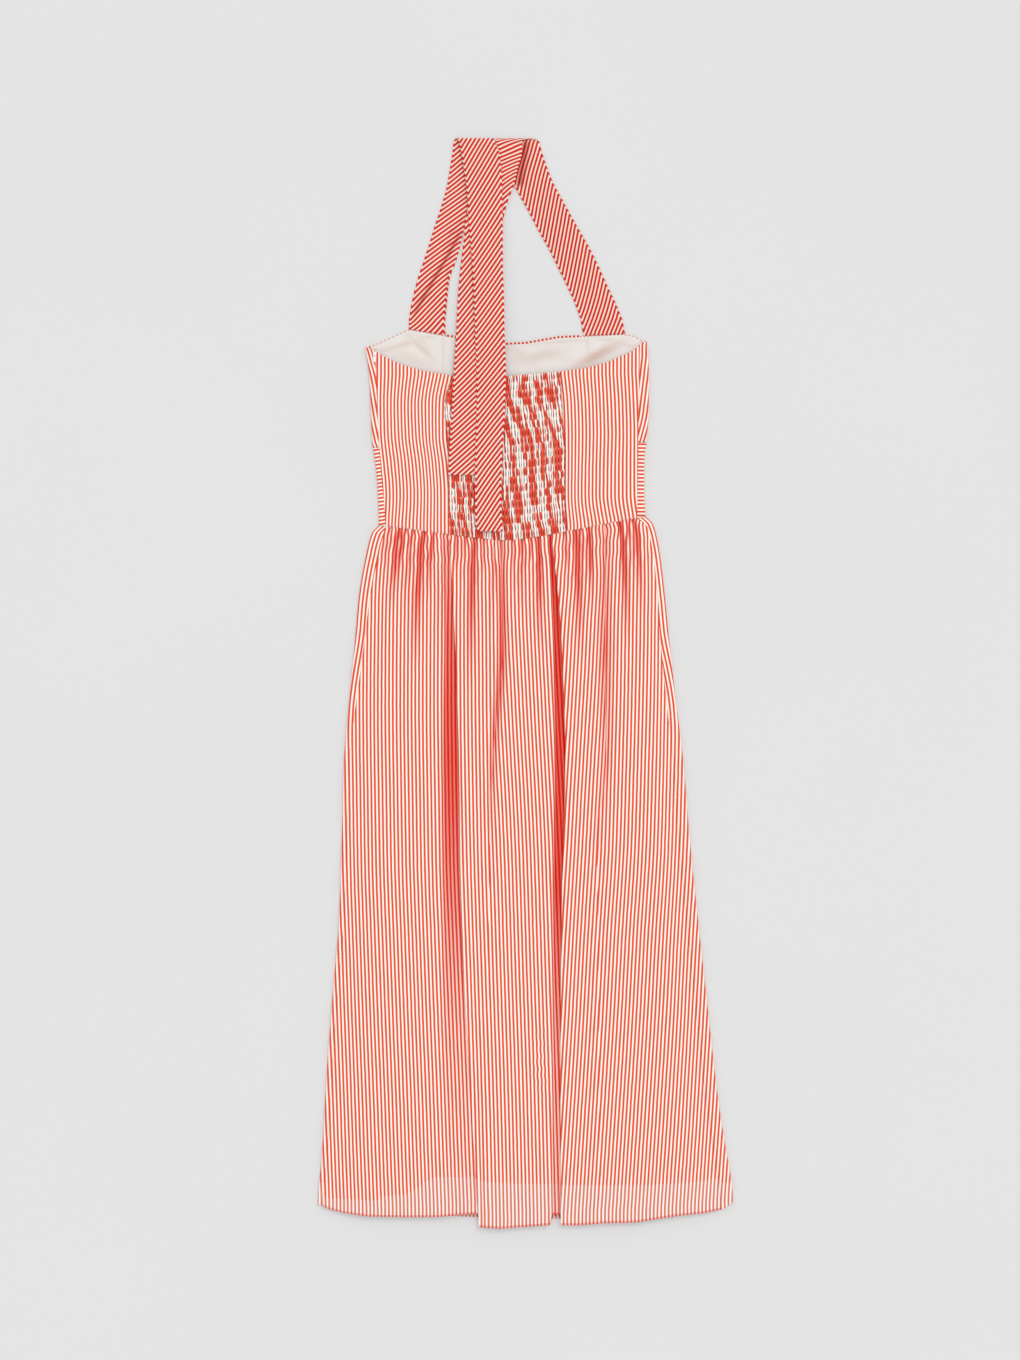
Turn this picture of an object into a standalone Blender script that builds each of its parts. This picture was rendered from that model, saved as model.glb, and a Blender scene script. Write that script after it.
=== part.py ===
# Halter dress laid flat, back side up, with its two halter straps folded over each other.
# Metres, +Z up. The hem points to -Y and the folds of the straps to +Y, as the dress lies.
# Shapes are worked out in millimetres: "across" from the middle line, "up" from the lowest hem point.

from math import cos, pi, sin, sqrt

import bmesh
import bpy
import numpy as np

for leftover in list(bpy.data.objects):
    bpy.data.objects.remove(leftover, do_unlink=True)

# Driving sizes in millimetres
LENGTH = 1473.0         # hem to the fold of the straps
SHELL = 1.2             # wall of the outer cloth
LINING = 1.0            # wall of the lining
STRAP = 1.6             # a strap is two layers of cloth on the bias
SEAM_GAP = 0.3          # what is sewn together stands this far apart
BODICE_SIDE = 6.0       # middle of the back's wall above the surface at the side seams
BODICE_RISE = 0.9       # how much higher it lies in the middle
SIDE_ROUND = 3.0        # how far the cloth rounds inwards at the side folds
LINING_LOW = 2.0        # middle of the lining's lower layer above the surface
SKIRT_LINING_HIGH = 3.6  # middle of the skirt lining's upper layer
LINING_IN = 7.0         # how far the lining stays in from the side folds
PANEL_SAG = 1.2         # how much lower a skirt panel lies in its middle than along its folds
SIDE_SLOPE = 0.4        # share of the outer panels over which they rise from the side seam
EDGE_REACH = 130.0      # how far down the skirt follows its slanted waist, and up its hem
FLOOR_OF_FOLD = 5.3     # lowest middle of the back skirt, just above the lining
TUBES = 46              # gathered tubes across the smocked panel
SMOCK_ROWS = 18         # rows of puffs between its shirring lines
PUFF = 1.3              # how far a puff stands up
SHIRRING = 0.4          # a shirring line above the middle of the back's wall
PLAIN_INSIDE = 0.6      # the smocked panel's plain inside below it
RIBBON_COLUMNS = 6      # strips across a strap

# Outline of the skirt: height above the hem, left fold, right fold, seams in from the folds
SKIRT_SIDES = dict(
    up=[0, 38, 92, 200, 308, 416, 524, 632, 713, 794, 848, 902, 930, 940],
    left=[-281, -279, -275, -269, -261, -252, -248, -245, -238, -230, -225, -215, -207, -198],
    right=[281, 279, 272, 257, 245, 233, 222, 213, 203, 194, 188, 180, 172, 162.2],
    left_in=[7, 7, 7, 7, 7, 7, 7, 7, 10, 13, 15, 17, 16, 9.5],
    right_in=[17, 17, 17, 17, 16, 16, 15, 14, 13, 12, 10, 9, 9, 11.4],
    side_height=[5.4, 5.4, 5.5, 5.6, 5.7, 5.8, 5.8, 5.9, 6.0, 6.1, 6.2, 6.3, 6.4, 6.4],
    crown=[11.0, 11.8, 12.4, 12.8, 13.0, 13.0, 13.0, 13.0, 12.8, 12.4, 11.8, 10.4, 8.8, 7.3],
)

# Outline of the bodice in the same columns
BODICE_SIDES = dict(
    up=[940, 953, 996, 1039, 1061, 1104, 1147, 1169, 1189, 1220],
    left=[-198, -198, -199.5, -203.5, -207, -209, -211, -214, -217, -218],
    right=[163, 162.5, 160, 160.5, 163.5, 166.5, 166.5, 166, 164, 163],
)
SIDE_SEAMS = dict(up=[930, 1057, 1195], left=[-187, -198, -204], right=[150.5, 152, 154.5])

# Where the seams and free edges run: across, and height above the hem
WAIST = dict(lowest=928.0, middle=-25.0, soft=20.0, left_slope=0.13, right_slope=0.19)
BACK_NECK = dict(
    across=[-217, -203, -196, -179, -163, -144, -123, -98, -28, 40, 57, 80, 94, 110, 123, 137, 147, 157, 166],
    up=[1189, 1184.5, 1179, 1170, 1164, 1158, 1154, 1150, 1149, 1155, 1157, 1160, 1164, 1168, 1174, 1180,
        1185, 1195, 1196],
)
FRONT_NECK = dict(
    across=[-217, -204, -187, -158, -107, -94, -25, 0, 22, 45, 77, 132, 147, 157, 166],
    up=[1189, 1192, 1199, 1213, 1204.5, 1203, 1193.5, 1194.7, 1198.5, 1202.6, 1204, 1206.5, 1204, 1198, 1196],
)
BAND_TOP = dict(across=[-210, 170], up=[1053, 1060])
BY_THE_SEAMS = (-200.0, 153.0)  # where a front piece's rows get their height at the sides
SMOCK_LEFT = dict(up=[930, 958, 1023, 1067, 1114, 1152], across=[-100.5, -102, -103, -106, -108.5, -98])
SMOCK_RIGHT = dict(up=[940, 985, 1053, 1092, 1149, 1160], across=[55.5, 52.5, 52.5, 50, 46, 45])
LINING_SEAMS = (-111.5, 84.5)
LINING_TOP = 1185.0
LINING_WAIST = 950.0
LINING_BELOW_NECK = 1.0
# Where the columns of the lying front stand, as shares of its width: its neckline turns there
FRONT_COLUMNS = (0.034, 0.079, 0.155, 0.289, 0.323, 0.505, 0.567, 0.624, 0.684, 0.773, 0.918)

# The large folds of the back skirt: where the soft side starts, the floor and the raised edge, and the depth
FOLDS = (
    dict(  # the left panel's broad lap
        up=[0, 227, 443, 632, 794, 942],
        soft=[-115, -125, -119.5, -119.5, -114, -118],
        floor=[-94, -104, -106, -107, -106, -110],
        edge=[-62, -76, -86, -88.5, -94, -102],
        depth=[7.0, 7.3, 7.0, 6.5, 5.0, 1.8],
    ),
    dict(  # a short dip beside it
        up=[0, 300, 520, 632, 794, 942],
        soft=[-54, -60, -57, -52, -40, -41],
        floor=[-49, -52, -50, -46.5, -34.5, -34.5],
        edge=[-43, -44, -44, -40, -26.5, -28],
        depth=[0.0, 0.0, 1.5, 5.0, 6.0, 1.8],
    ),
    dict(  # the deep inverted pleat
        up=[0, 227, 443, 632, 794, 942],
        soft=[31, 32, 32, 35, 34.5, 27.5],
        floor=[38, 39.5, 40, 42.5, 40, 31.5],
        edge=[48.5, 48, 50, 54.5, 49.5, 36],
        depth=[7.0, 7.5, 7.5, 7.5, 7.0, 1.8],
    ),
    dict(  # the right panel's dip
        up=[0, 300, 521, 632, 794, 942],
        soft=[92, 90, 87, 96.5, 92.5, 100],
        floor=[98, 97, 94, 106, 103, 106],
        edge=[107, 106, 105, 117, 117, 113],
        depth=[0.0, 0.0, 2.0, 4.8, 6.0, 1.8],
    ),
)

# Gathers at the waist: the panel between two folds, its share across it, how far it runs down, its depth
GATHERS = (
    dict(panel=0, share=0.14, run=60, depth=1.6),
    dict(panel=0, share=0.33, run=150, depth=2.0),
    dict(panel=0, share=0.54, run=75, depth=1.8),
    dict(panel=0, share=0.78, run=120, depth=2.0),
    dict(panel=1, share=0.20, run=140, depth=1.9),
    dict(panel=1, share=0.56, run=90, depth=1.8),
    dict(panel=1, share=0.84, run=60, depth=1.5),
    dict(panel=2, share=0.18, run=110, depth=1.9),
    dict(panel=2, share=0.50, run=55, depth=1.6),
    dict(panel=2, share=0.81, run=130, depth=1.9),
    dict(panel=3, share=0.22, run=60, depth=1.6),
    dict(panel=3, share=0.50, run=95, depth=1.8),
    dict(panel=3, share=0.78, run=120, depth=1.9),
    dict(panel=4, share=0.30, run=110, depth=1.8),
    dict(panel=4, share=0.70, run=80, depth=1.6),
)

# The hem of each panel of the back skirt: across, and height above the lowest point
HEMS = (
    dict(across=[-281, -263, -242, -212, -160, -118, -67], up=[34, 26, 21.5, 17.5, 16.5, 17, 21]),
    dict(across=[-62, -34, 32], up=[3, 1, 6]),
    dict(across=[-62, -34, 32], up=[3, 1, 6]),
    dict(across=[48, 71, 106], up=[6, 5.5, 8.5]),
    dict(across=[106, 149, 210, 241, 267, 281], up=[8.5, 9.5, 19, 21.5, 27, 37]),
)
PLEAT_HEM = 19.5
# How a fold's raised edge climbs from its floor: distance across from the edge, share of the depth
EDGE_CLIMB = ((-1.0, 0.1), (-0.1, 0.42), (0.9, 0.85))
EDGE_WIDTH = 3.4        # where the next panel starts
FRONT_HEM = dict(across=[-281, -263, -242, -200, 0, 200, 241, 267, 281], up=[34, 26, 22.5, 22, 11, 20, 21.5, 27, 37])
LINING_HEM = 62.0
SKIRT_ROWS = (940, 930, 915, 893, 862, 818, 760, 680, 590, 490, 380, 270, 160, 70, 10)

# Left strap: lies on the surface, folds over at the top and hangs down over the back as the long tail
LEFT_STRAP = dict(
    up=[1226, 1247, 1280, 1307, 1330, 1353, 1377, 1405, 1434, 1453],
    left=[-157.5, -154, -146, -137, -129.5, -122.5, -114.5, -106.5, -101.5, -98.5],
    right=[-108, -106, -102.5, -93, -87, -82, -78, -65, -51, -43.5],
)
LONG_TAIL = dict(
    up=[1463, 1453, 1441, 1422, 1400, 1375, 1344, 1309, 1253, 1199, 1160, 1105, 1033, 985, 950, 940],
    left=[-90.5, -87, -85, -82, -79, -77.5, -75.5, -72.5, -69.5, -67.5, -66, -66, -68, -68, -67.5, -64],
    right=[-42, -36, -34, -32, -31.5, -31, -30.5, -30.5, -29, -28, -26.5, -27.5, -31.5, -32.5, -31, -30.5],
    height=[5.8, 5.8, 5.8, 5.8, 5.8, 5.9, 6.0, 6.6, 8.6, 10.8, 12.0, 12.0, 11.9, 11.9, 11.8, 11.7],
)

# Right strap: leans to the left, folds over at the top and ends in the short tail below the long one
RIGHT_STRAP = dict(
    up=[1226, 1247, 1269, 1301, 1323, 1345, 1368, 1388, 1410, 1434, 1453],
    left=[74.5, 67, 57, 41.5, 30.5, 18, 6, -5, -17, -30, -36],
    right=[131, 122.5, 112, 97.5, 86.5, 74, 61, 50, 38, 28.5, 22],
)
SHORT_TAIL = dict(
    up=[1463, 1449, 1433, 1409, 1385, 1363, 1337, 1307, 1261, 1199, 1156, 1103, 1040, 1016],
    left=[-40, -46, -54, -64, -74, -81, -83, -86.5, -91, -94, -96.5, -99.5, -103, -104],
    right=[-3.5, -5, -9.5, -15, -24, -29.5, -34, -38, -42, -46, -48, -50, -52, -52.5],
    height=[3.4, 3.4, 3.4, 3.4, 3.4, 3.4, 3.4, 3.5, 4.6, 7.6, 9.6, 9.8, 9.8, 9.8],
)
STRAP_LOW = 0.8         # middle of a strap that lies on the surface
STRAP_CROWN = 0.35      # how much fuller a strap is in the middle of its width
TOP_FOLD = 1471.0       # where the straps fold over

# Zip in the left side seam
ZIP_TOP = 1183.0
ZIP_END = 925.0
TAPE = 0.8
TAPE_EDGES = (-2.0, 0.0, 3.0, 6.0)  # columns of the tape beside the seam
SLIDER_UP = 1178.0      # middle of the slider's bridge
PLATE_LOW = 6.9
PLATE = 0.7
PLATE_WIDTH = 4.8
PLATE_LENGTH = 7.6
PULL_CLEARANCE = 0.35
BRIDGE_HEIGHT = 9.3     # axis of the pull above the surface
BRIDGE_BAR = 0.7
EYE_INNER = 0.8
EYE_OUTER = 1.35
EYE_LENGTH = 2.4
PULL_LENGTH = 10.0
PULL_WIDTH = 4.0
PULL_THICK = 0.8
TAB_NECK = 0.9          # length of the narrow part below the eye
TAB_CORNER = 1.5
TAB_TAPER = 1.2


def read(table, column, at, key="up"):
    """A value between the rows of a short table."""
    keys = np.asarray(table[key], float)
    values = np.asarray(table[column], float)
    order = np.argsort(keys)
    return np.interp(at, keys[order], values[order])


def ease(share):
    """0 to 1 with a soft start and end."""
    share = min(max(share, 0.0), 1.0)
    return 0.5 - 0.5 * cos(pi * share)


def waist_line(across):
    """The waist seam sags in the middle and rises evenly to both sides."""
    away = across - WAIST["middle"]
    slope = WAIST["left_slope"] if away < 0 else WAIST["right_slope"]
    return WAIST["lowest"] + slope * (sqrt(away ** 2 + WAIST["soft"] ** 2) - WAIST["soft"])


def cloth(name, colour, roughness=0.85):
    material = bpy.data.materials.new(name)
    material.use_nodes = True
    shader = material.node_tree.nodes["Principled BSDF"]
    shader.inputs["Base Color"].default_value = (*colour, 1.0)
    shader.inputs["Roughness"].default_value = roughness
    shader.inputs["Metallic"].default_value = 0.0
    return material


STRIPED = cloth("striped_cotton", (0.72, 0.20, 0.15))
STRIPED_BIAS = cloth("striped_cotton_bias", (0.62, 0.10, 0.07))
WHITE_LINING = cloth("white_lining", (0.88, 0.86, 0.85), 0.6)
WHITE_TAPE = cloth("white_tape", (0.86, 0.85, 0.84), 0.7)
WHITE_PULL = cloth("white_enamel", (0.90, 0.90, 0.89), 0.35)


def add_object(name, points, faces, material):
    """Points in millimetres, across / up / height, become a named object in metres."""
    mesh = bpy.data.meshes.new(name)
    placed = [(x / 1000, (y - LENGTH / 2) / 1000, z / 1000) for x, y, z in points]
    mesh.from_pydata(placed, [], faces)
    shape = bmesh.new()
    shape.from_mesh(mesh)
    bmesh.ops.recalc_face_normals(shape, faces=shape.faces)
    shape.to_mesh(mesh)
    shape.free()
    mesh.shade_smooth()
    mesh.materials.append(material)
    piece = bpy.data.objects.new(name, mesh)
    bpy.context.scene.collection.objects.link(piece)
    return piece


def grid_normals(grid, ring, turns):
    """Which way the wall's thickness goes: across the rows, and along them where the cloth turns over."""
    if ring:
        along = np.roll(grid, -1, axis=1) - np.roll(grid, 1, axis=1)
    else:
        along = np.gradient(grid, axis=1)
    down = np.gradient(grid, axis=0)
    normal = np.cross(along, down)
    if not turns:
        normal[:, :, 1] = 0
    return normal / np.linalg.norm(normal, axis=2, keepdims=True)


def wall(name, grid, thickness, material, ring=False, turns=False):
    """A closed wall of even thickness around a grid of middle points, rows by columns."""
    grid = np.asarray(grid, float)
    rows, columns = grid.shape[:2]
    offset = grid_normals(grid, ring, turns) * thickness / 2
    points = [tuple(p) for p in (grid + offset).reshape(-1, 3)]
    points += [tuple(p) for p in (grid - offset).reshape(-1, 3)]
    under = rows * columns
    faces = []
    steps = columns if ring else columns - 1
    for row in range(rows - 1):
        for column in range(steps):
            right = (column + 1) % columns
            a = row * columns + column
            b = row * columns + right
            c = (row + 1) * columns + right
            d = (row + 1) * columns + column
            faces.append((a, b, c, d))
            faces.append((under + d, under + c, under + b, under + a))
    for row in (0, rows - 1):
        for column in range(steps):
            right = (column + 1) % columns
            a = row * columns + column
            b = row * columns + right
            faces.append((a, under + a, under + b, b))
    if not ring:
        for column in (0, columns - 1):
            for row in range(rows - 1):
                a = row * columns + column
                b = (row + 1) * columns + column
                faces.append((a, b, under + b, under + a))
    return add_object(name, points, faces, material)


def side_fold(fold, height, side, steps):
    """From the surface up round a side fold to the top layer: across and height of each point."""
    low = SHELL / 2
    middle = (low + height) / 2
    rise = (height - low) / 2
    arc = []
    for step in range(steps + 1):
        angle = -pi / 2 + pi * step / steps
        reach = SHELL / 2 + SIDE_ROUND * (1 - cos(angle))
        arc.append((fold + side * reach, middle + rise * sin(angle)))
    return arc


def wrapped_section(left, right, left_seam, right_seam, height):
    """Seam on the left, down round the left fold, along the surface, up round the right fold, seam."""
    from_left = side_fold(left, height, 1, 6)
    from_right = side_fold(right, height, -1, 6)
    points = [(left_seam, height, "top")]
    points += [(x, z, "top" if z > height / 2 else "low") for x, z in reversed(from_left)]
    for share in FRONT_COLUMNS:
        points.append((left + (right - left) * share, SHELL / 2, "low"))
    points += [(x, z, "top" if z > height / 2 else "low") for x, z in from_right]
    points.append((right_seam, height, "top"))
    return points


def spread(up, top, bottom):
    """How much a row moves with the edge above it and with the edge below it."""
    return max(0.0, 1 - (top - up) / EDGE_REACH), max(0.0, 1 - (up - bottom) / EDGE_REACH)


# Skirt

def skirt_seams(up):
    left = read(SKIRT_SIDES, "left", up) + read(SKIRT_SIDES, "left_in", up)
    right = read(SKIRT_SIDES, "right", up) - read(SKIRT_SIDES, "right_in", up)
    return left, right


def place_row(section, up, hem_of):
    """Bend a row towards the waist seam at the top and the hem at the bottom."""
    with_waist, with_hem = spread(up, SKIRT_ROWS[0], SKIRT_ROWS[-1])
    row = []
    for point in section:
        across, height = point[0], point[1]
        lift = with_waist * (waist_line(across) - SEAM_GAP / 2 - SKIRT_ROWS[0])
        drop = with_hem * (hem_of(point) - SKIRT_ROWS[-1])
        row.append((across, up + lift + drop, height))
    return row


def skirt_front():
    grid = []
    for up in SKIRT_ROWS:
        left = read(SKIRT_SIDES, "left", up)
        right = read(SKIRT_SIDES, "right", up)
        height = read(SKIRT_SIDES, "side_height", up)
        left_seam, right_seam = skirt_seams(up)
        section = wrapped_section(left, right, left_seam - SEAM_GAP / 2, right_seam + SEAM_GAP / 2, height)
        grid.append(place_row(section, up, lambda point: read(FRONT_HEM, "up", point[0], key="across")))
    return wall("skirt_front", grid, SHELL, STRIPED)


def panel_columns(panel):
    """A panel's gathers, each with the stretch it draws in, and the shares where its columns stand."""
    found = [g for g in GATHERS if g["panel"] == panel]
    limits = [0.0] + [(a["share"] + b["share"]) / 2 for a, b in zip(found, found[1:])] + [1.0]
    gathers = [dict(g, low=low, high=high) for g, low, high in zip(found, limits, limits[1:])]
    shares = [0.0]
    for gather in gathers:
        low = gather["low"]
        high = gather["high"]
        shares += [(low + gather["share"]) / 2, gather["share"], (gather["share"] + high) / 2, high]
    return gathers, shares


def gather_dip(gather, share, below_waist):
    """How far a gather draws the cloth in at this place."""
    centre = gather["share"]
    width = centre - gather["low"] if share < centre else gather["high"] - centre
    distance = abs(share - centre) / width
    if distance >= 1 or below_waist >= gather["run"]:
        return 0.0
    fade = 1 - ease(below_waist / gather["run"])
    return gather["depth"] * fade * (0.5 + 0.5 * cos(pi * distance))


def back_section(up):
    """Across, height and hem panel of each point, from the left seam over the folds to the right one."""
    left_seam, right_seam = skirt_seams(up)
    crown = read(SKIRT_SIDES, "crown", up)
    side = read(SKIRT_SIDES, "side_height", up)
    below = SKIRT_ROWS[0] - up
    points = []
    start = left_seam + SEAM_GAP / 2
    for panel in range(len(FOLDS) + 1):
        fold = FOLDS[panel] if panel < len(FOLDS) else None
        end = read(fold, "soft", up) if fold else right_seam - SEAM_GAP / 2
        gathers, shares = panel_columns(panel)
        for share in shares:
            height = crown - PANEL_SAG * sin(pi * share)
            if panel == 0:
                height = side + (height - side) * ease(share / SIDE_SLOPE)
            if panel == len(FOLDS):
                height = side + (height - side) * ease((1 - share) / SIDE_SLOPE)
            height -= sum(gather_dip(g, share, below) for g in gathers)
            points.append((start + (end - start) * share, max(height, FLOOR_OF_FOLD), panel))
        if fold:
            depth = read(fold, "depth", up)
            floor = read(fold, "floor", up)
            edge = read(fold, "edge", up)
            low = max(crown - depth, FLOOR_OF_FOLD)
            recess = "pleat" if panel == 2 else panel
            points.append(((end + floor) / 2, (crown + low) / 2, panel))
            points.append((floor, low, recess))
            points.append(((floor + edge + EDGE_CLIMB[0][0]) / 2, low, recess))
            for index, (beside, climb) in enumerate(EDGE_CLIMB):
                points.append((edge + beside, low + climb * depth, recess if index == 0 else panel + 1))
            start = edge + EDGE_WIDTH
    return points


def back_hem(point):
    if point[2] == "pleat":
        return PLEAT_HEM
    return read(HEMS[point[2]], "up", point[0], key="across")


def skirt_back():
    grid = [place_row(back_section(up), up, back_hem) for up in SKIRT_ROWS]
    return wall("skirt_back", grid, SHELL, STRIPED)


def skirt_lining():
    """A narrower tube inside the skirt, shorter than it."""
    rows = (932, 915, 870, 790, 650, 470, 290, 150, LINING_HEM)
    grid = []
    for up in rows:
        left = read(SKIRT_SIDES, "left", up) + LINING_IN
        right = read(SKIRT_SIDES, "right", up) - LINING_IN
        middle = (LINING_LOW + SKIRT_LINING_HIGH) / 2
        rise = middle - LINING_LOW
        flats = [left + (right - left) * share for share in (0.03, 0.2, 0.4, 0.5, 0.6, 0.8, 0.97)]
        section = [(x, SKIRT_LINING_HIGH) for x in flats]
        section += [(right - rise + rise * cos(a), middle + rise * sin(a)) for a in (pi / 4, 0, -pi / 4)]
        section += [(x, LINING_LOW) for x in reversed(flats)]
        section += [(left + rise - rise * cos(a), middle + rise * sin(a)) for a in (-pi / 4, 0, pi / 4)]
        lift = max(0.0, 1 - (rows[0] - up) / EDGE_REACH)
        grid.append([(x, up + lift * (waist_line(x) - SKIRT_ROWS[0]), z) for x, z in section])
    return wall("skirt_lining", grid, LINING, WHITE_LINING, ring=True)


# Bodice

def bodice_height(across):
    """Middle of the back's wall, a little higher in the middle than at the seams."""
    return BODICE_SIDE + BODICE_RISE * max(0.0, cos(pi * (across + 20) / 380.0))


def bodice_seams(up):
    return read(SIDE_SEAMS, "left", up), read(SIDE_SEAMS, "right", up)


def wrapped_bodice(name, low_of, high_of, steps):
    """A front piece that lies on the surface and turns up round both sides to the side seams."""
    grid = []
    for step in range(steps + 1):
        share = step / steps
        left_up, right_up = (high_of(side, "top") + (low_of(side, "top") - high_of(side, "top")) * share
                             for side in BY_THE_SEAMS)
        left = read(BODICE_SIDES, "left", left_up)
        right = read(BODICE_SIDES, "right", right_up)
        section = wrapped_section(left, right, bodice_seams(left_up)[0] - SEAM_GAP / 2,
                                  bodice_seams(right_up)[1] + SEAM_GAP / 2, BODICE_SIDE)
        row = []
        for across, height, layer in section:
            high = high_of(across, layer)
            low = low_of(across, layer)
            row.append((across, high + (low - high) * share, height))
        grid.append(row)
    return wall(name, grid, SHELL, STRIPED)


def front_top(across, layer):
    table = BACK_NECK if layer == "top" else FRONT_NECK
    return read(table, "up", across, key="across")


def band_top(across, layer):
    return read(BAND_TOP, "up", across, key="across")


def bodice_front():
    return wrapped_bodice("bodice_front", lambda x, l: band_top(x, l) + SEAM_GAP / 2, front_top, 6)


def midriff_front():
    return wrapped_bodice("midriff_front", lambda x, l: waist_line(x) + SEAM_GAP / 2,
                          lambda x, l: band_top(x, l) - SEAM_GAP / 2, 3)


def bodice_lining():
    """Three lining panels behind the front, which show above the back's neckline."""
    names = ("bodice_lining_left", "bodice_lining_centre", "bodice_lining_right")
    for index, name in enumerate(names):
        grid = []
        for step in range(7):
            share = step / 6
            up = LINING_TOP + (LINING_WAIST - LINING_TOP) * share
            left = read(BODICE_SIDES, "left", up) + LINING_IN
            right = read(BODICE_SIDES, "right", up) - LINING_IN
            edges = (left, *LINING_SEAMS, right)
            start = edges[index] + SEAM_GAP / 2
            end = edges[index + 1] - SEAM_GAP / 2
            row = []
            for column in range(9):
                across = start + (end - start) * column / 8
                high = front_top(across, "low") - LINING_BELOW_NECK
                low = waist_line(across) + 2 * SEAM_GAP
                row.append((across, high + (low - high) * share, LINING_LOW))
            grid.append(row)
        wall(name, grid, LINING, WHITE_LINING)


def back_point(left_of, right_of, part, share):
    """A place on the back between two upright seams: its share across, and its share down."""
    top = BACK_NECK["up"][len(BACK_NECK["up"]) // 2]
    up = top + (SKIRT_ROWS[0] - top) * share
    for attempt in range(3):
        across = left_of(up) + (right_of(up) - left_of(up)) * part
        high = read(BACK_NECK, "up", across, key="across")
        low = waist_line(across) + SEAM_GAP / 2
        up = high + (low - high) * share
    return across, up, bodice_height(across)


def back_panel(name, left_of, right_of):
    columns = 7
    shares = [column / columns for column in range(columns + 1)]
    grid = [[back_point(left_of, right_of, share, row / SMOCK_ROWS) for share in shares]
            for row in range(SMOCK_ROWS + 1)]
    return wall(name, grid, SHELL, STRIPED)


def back_left():
    return back_panel("back_left", lambda up: bodice_seams(up)[0] + SEAM_GAP / 2,
                      lambda up: read(SMOCK_LEFT, "across", up) - SEAM_GAP / 2)


def back_right():
    return back_panel("back_right", lambda up: read(SMOCK_RIGHT, "across", up) + SEAM_GAP / 2,
                      lambda up: bodice_seams(up)[1] - SEAM_GAP / 2)


def back_smocked():
    """Gathered tubes crossed by shirring lines: each cell between them is a puff over a plain inside."""
    def corner(row, column, lift):
        across, up, height = back_point(lambda at: read(SMOCK_LEFT, "across", at) + SEAM_GAP / 2,
                                        lambda at: read(SMOCK_RIGHT, "across", at) - SEAM_GAP / 2,
                                        column / TUBES, row / SMOCK_ROWS)
        return (across, up, height + lift)

    points = []
    outer = {}
    faces = []
    for row in range(SMOCK_ROWS + 1):
        for column in range(TUBES + 1):
            outer[row, column] = len(points)
            points.append(corner(row, column, SHIRRING))
    for row in range(SMOCK_ROWS):
        for column in range(TUBES):
            centre = len(points)
            points.append(corner(row + 0.5, column + 0.5, SHIRRING + PUFF))
            a = outer[row, column]
            b = outer[row, column + 1]
            c = outer[row + 1, column + 1]
            d = outer[row + 1, column]
            faces += [(a, b, centre), (b, c, centre), (c, d, centre), (d, a, centre)]
    inner = {}
    for row in range(SMOCK_ROWS + 1):
        for column in range(TUBES + 1):
            if row in (0, SMOCK_ROWS) or column in (0, TUBES):
                inner[row, column] = len(points)
                points.append(corner(row, column, -PLAIN_INSIDE))
    # The plain inside is strips from the top edge to the bottom one, fanned out at both sides
    last = SMOCK_ROWS
    for column in range(1, TUBES - 1):
        faces.append((inner[0, column], inner[last, column], inner[last, column + 1], inner[0, column + 1]))
    left_side = [inner[row, 0] for row in range(last + 1)]
    right_side = [inner[row, TUBES] for row in range(last + 1)]
    for side, near in ((left_side, 1), (right_side, TUBES - 1)):
        pivot_top = inner[0, near]
        pivot_low = inner[last, near]
        half = last // 2
        for row in range(last):
            pivot = pivot_top if row < half else pivot_low
            faces.append((side[row], side[row + 1], pivot))
        faces.append((side[half], pivot_low, pivot_top))
    for column in range(TUBES):
        for row in (0, last):
            right = column + 1
            faces.append((outer[row, column], outer[row, right], inner[row, right], inner[row, column]))
    for row in range(last):
        for column in (0, TUBES):
            down = row + 1
            faces.append((outer[row, column], outer[down, column], inner[down, column], inner[row, column]))
    return add_object("back_smocked", points, faces, STRIPED)


# Straps

def ribbon_row(left, right, up, height, crown=STRAP_CROWN):
    """A row of points across a strap, a little fuller in the middle."""
    row = []
    for column in range(RIBBON_COLUMNS + 1):
        share = column / RIBBON_COLUMNS
        across = left + (right - left) * share
        level = up(across) if callable(up) else up
        row.append((across, level, height + crown * sin(pi * share)))
    return row


def strap(name, going_up, tail):
    grid = []

    def above_neck(across):
        return read(FRONT_NECK, "up", across, key="across") + SEAM_GAP

    first = going_up["up"][0]
    base_left = read(going_up, "left", first)
    base_right = read(going_up, "right", first)
    grid.append(ribbon_row(base_left, base_right, above_neck, STRAP_LOW, 0.0))
    for up, left, right in zip(going_up["up"], going_up["left"], going_up["right"]):
        grid.append(ribbon_row(left, right, up, STRAP_LOW))
    # Half a turn over the fold at the top
    low = STRAP_LOW
    high = tail["height"][0]
    radius = (high - low) / 2
    for turn in (0.0, 0.25, 0.5, 0.75, 1.0):
        share = 0.2 + 0.8 * turn
        left = going_up["left"][-1] + (tail["left"][0] - going_up["left"][-1]) * share
        right = going_up["right"][-1] + (tail["right"][0] - going_up["right"][-1]) * share
        angle = -pi / 2 + pi * turn
        centre = TOP_FOLD - radius - STRAP / 2
        grid.append(ribbon_row(left, right, centre + radius * cos(angle), low + radius + radius * sin(angle),
                               STRAP_CROWN * abs(cos(pi * turn))))
    tail_rows = list(zip(tail["up"], tail["left"], tail["right"], tail["height"]))
    for up, left, right, height in tail_rows[1:]:
        grid.append(ribbon_row(left, right, up, height))
    return wall(name, grid, STRAP, STRIPED_BIAS, turns=True)


# Zip

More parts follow.
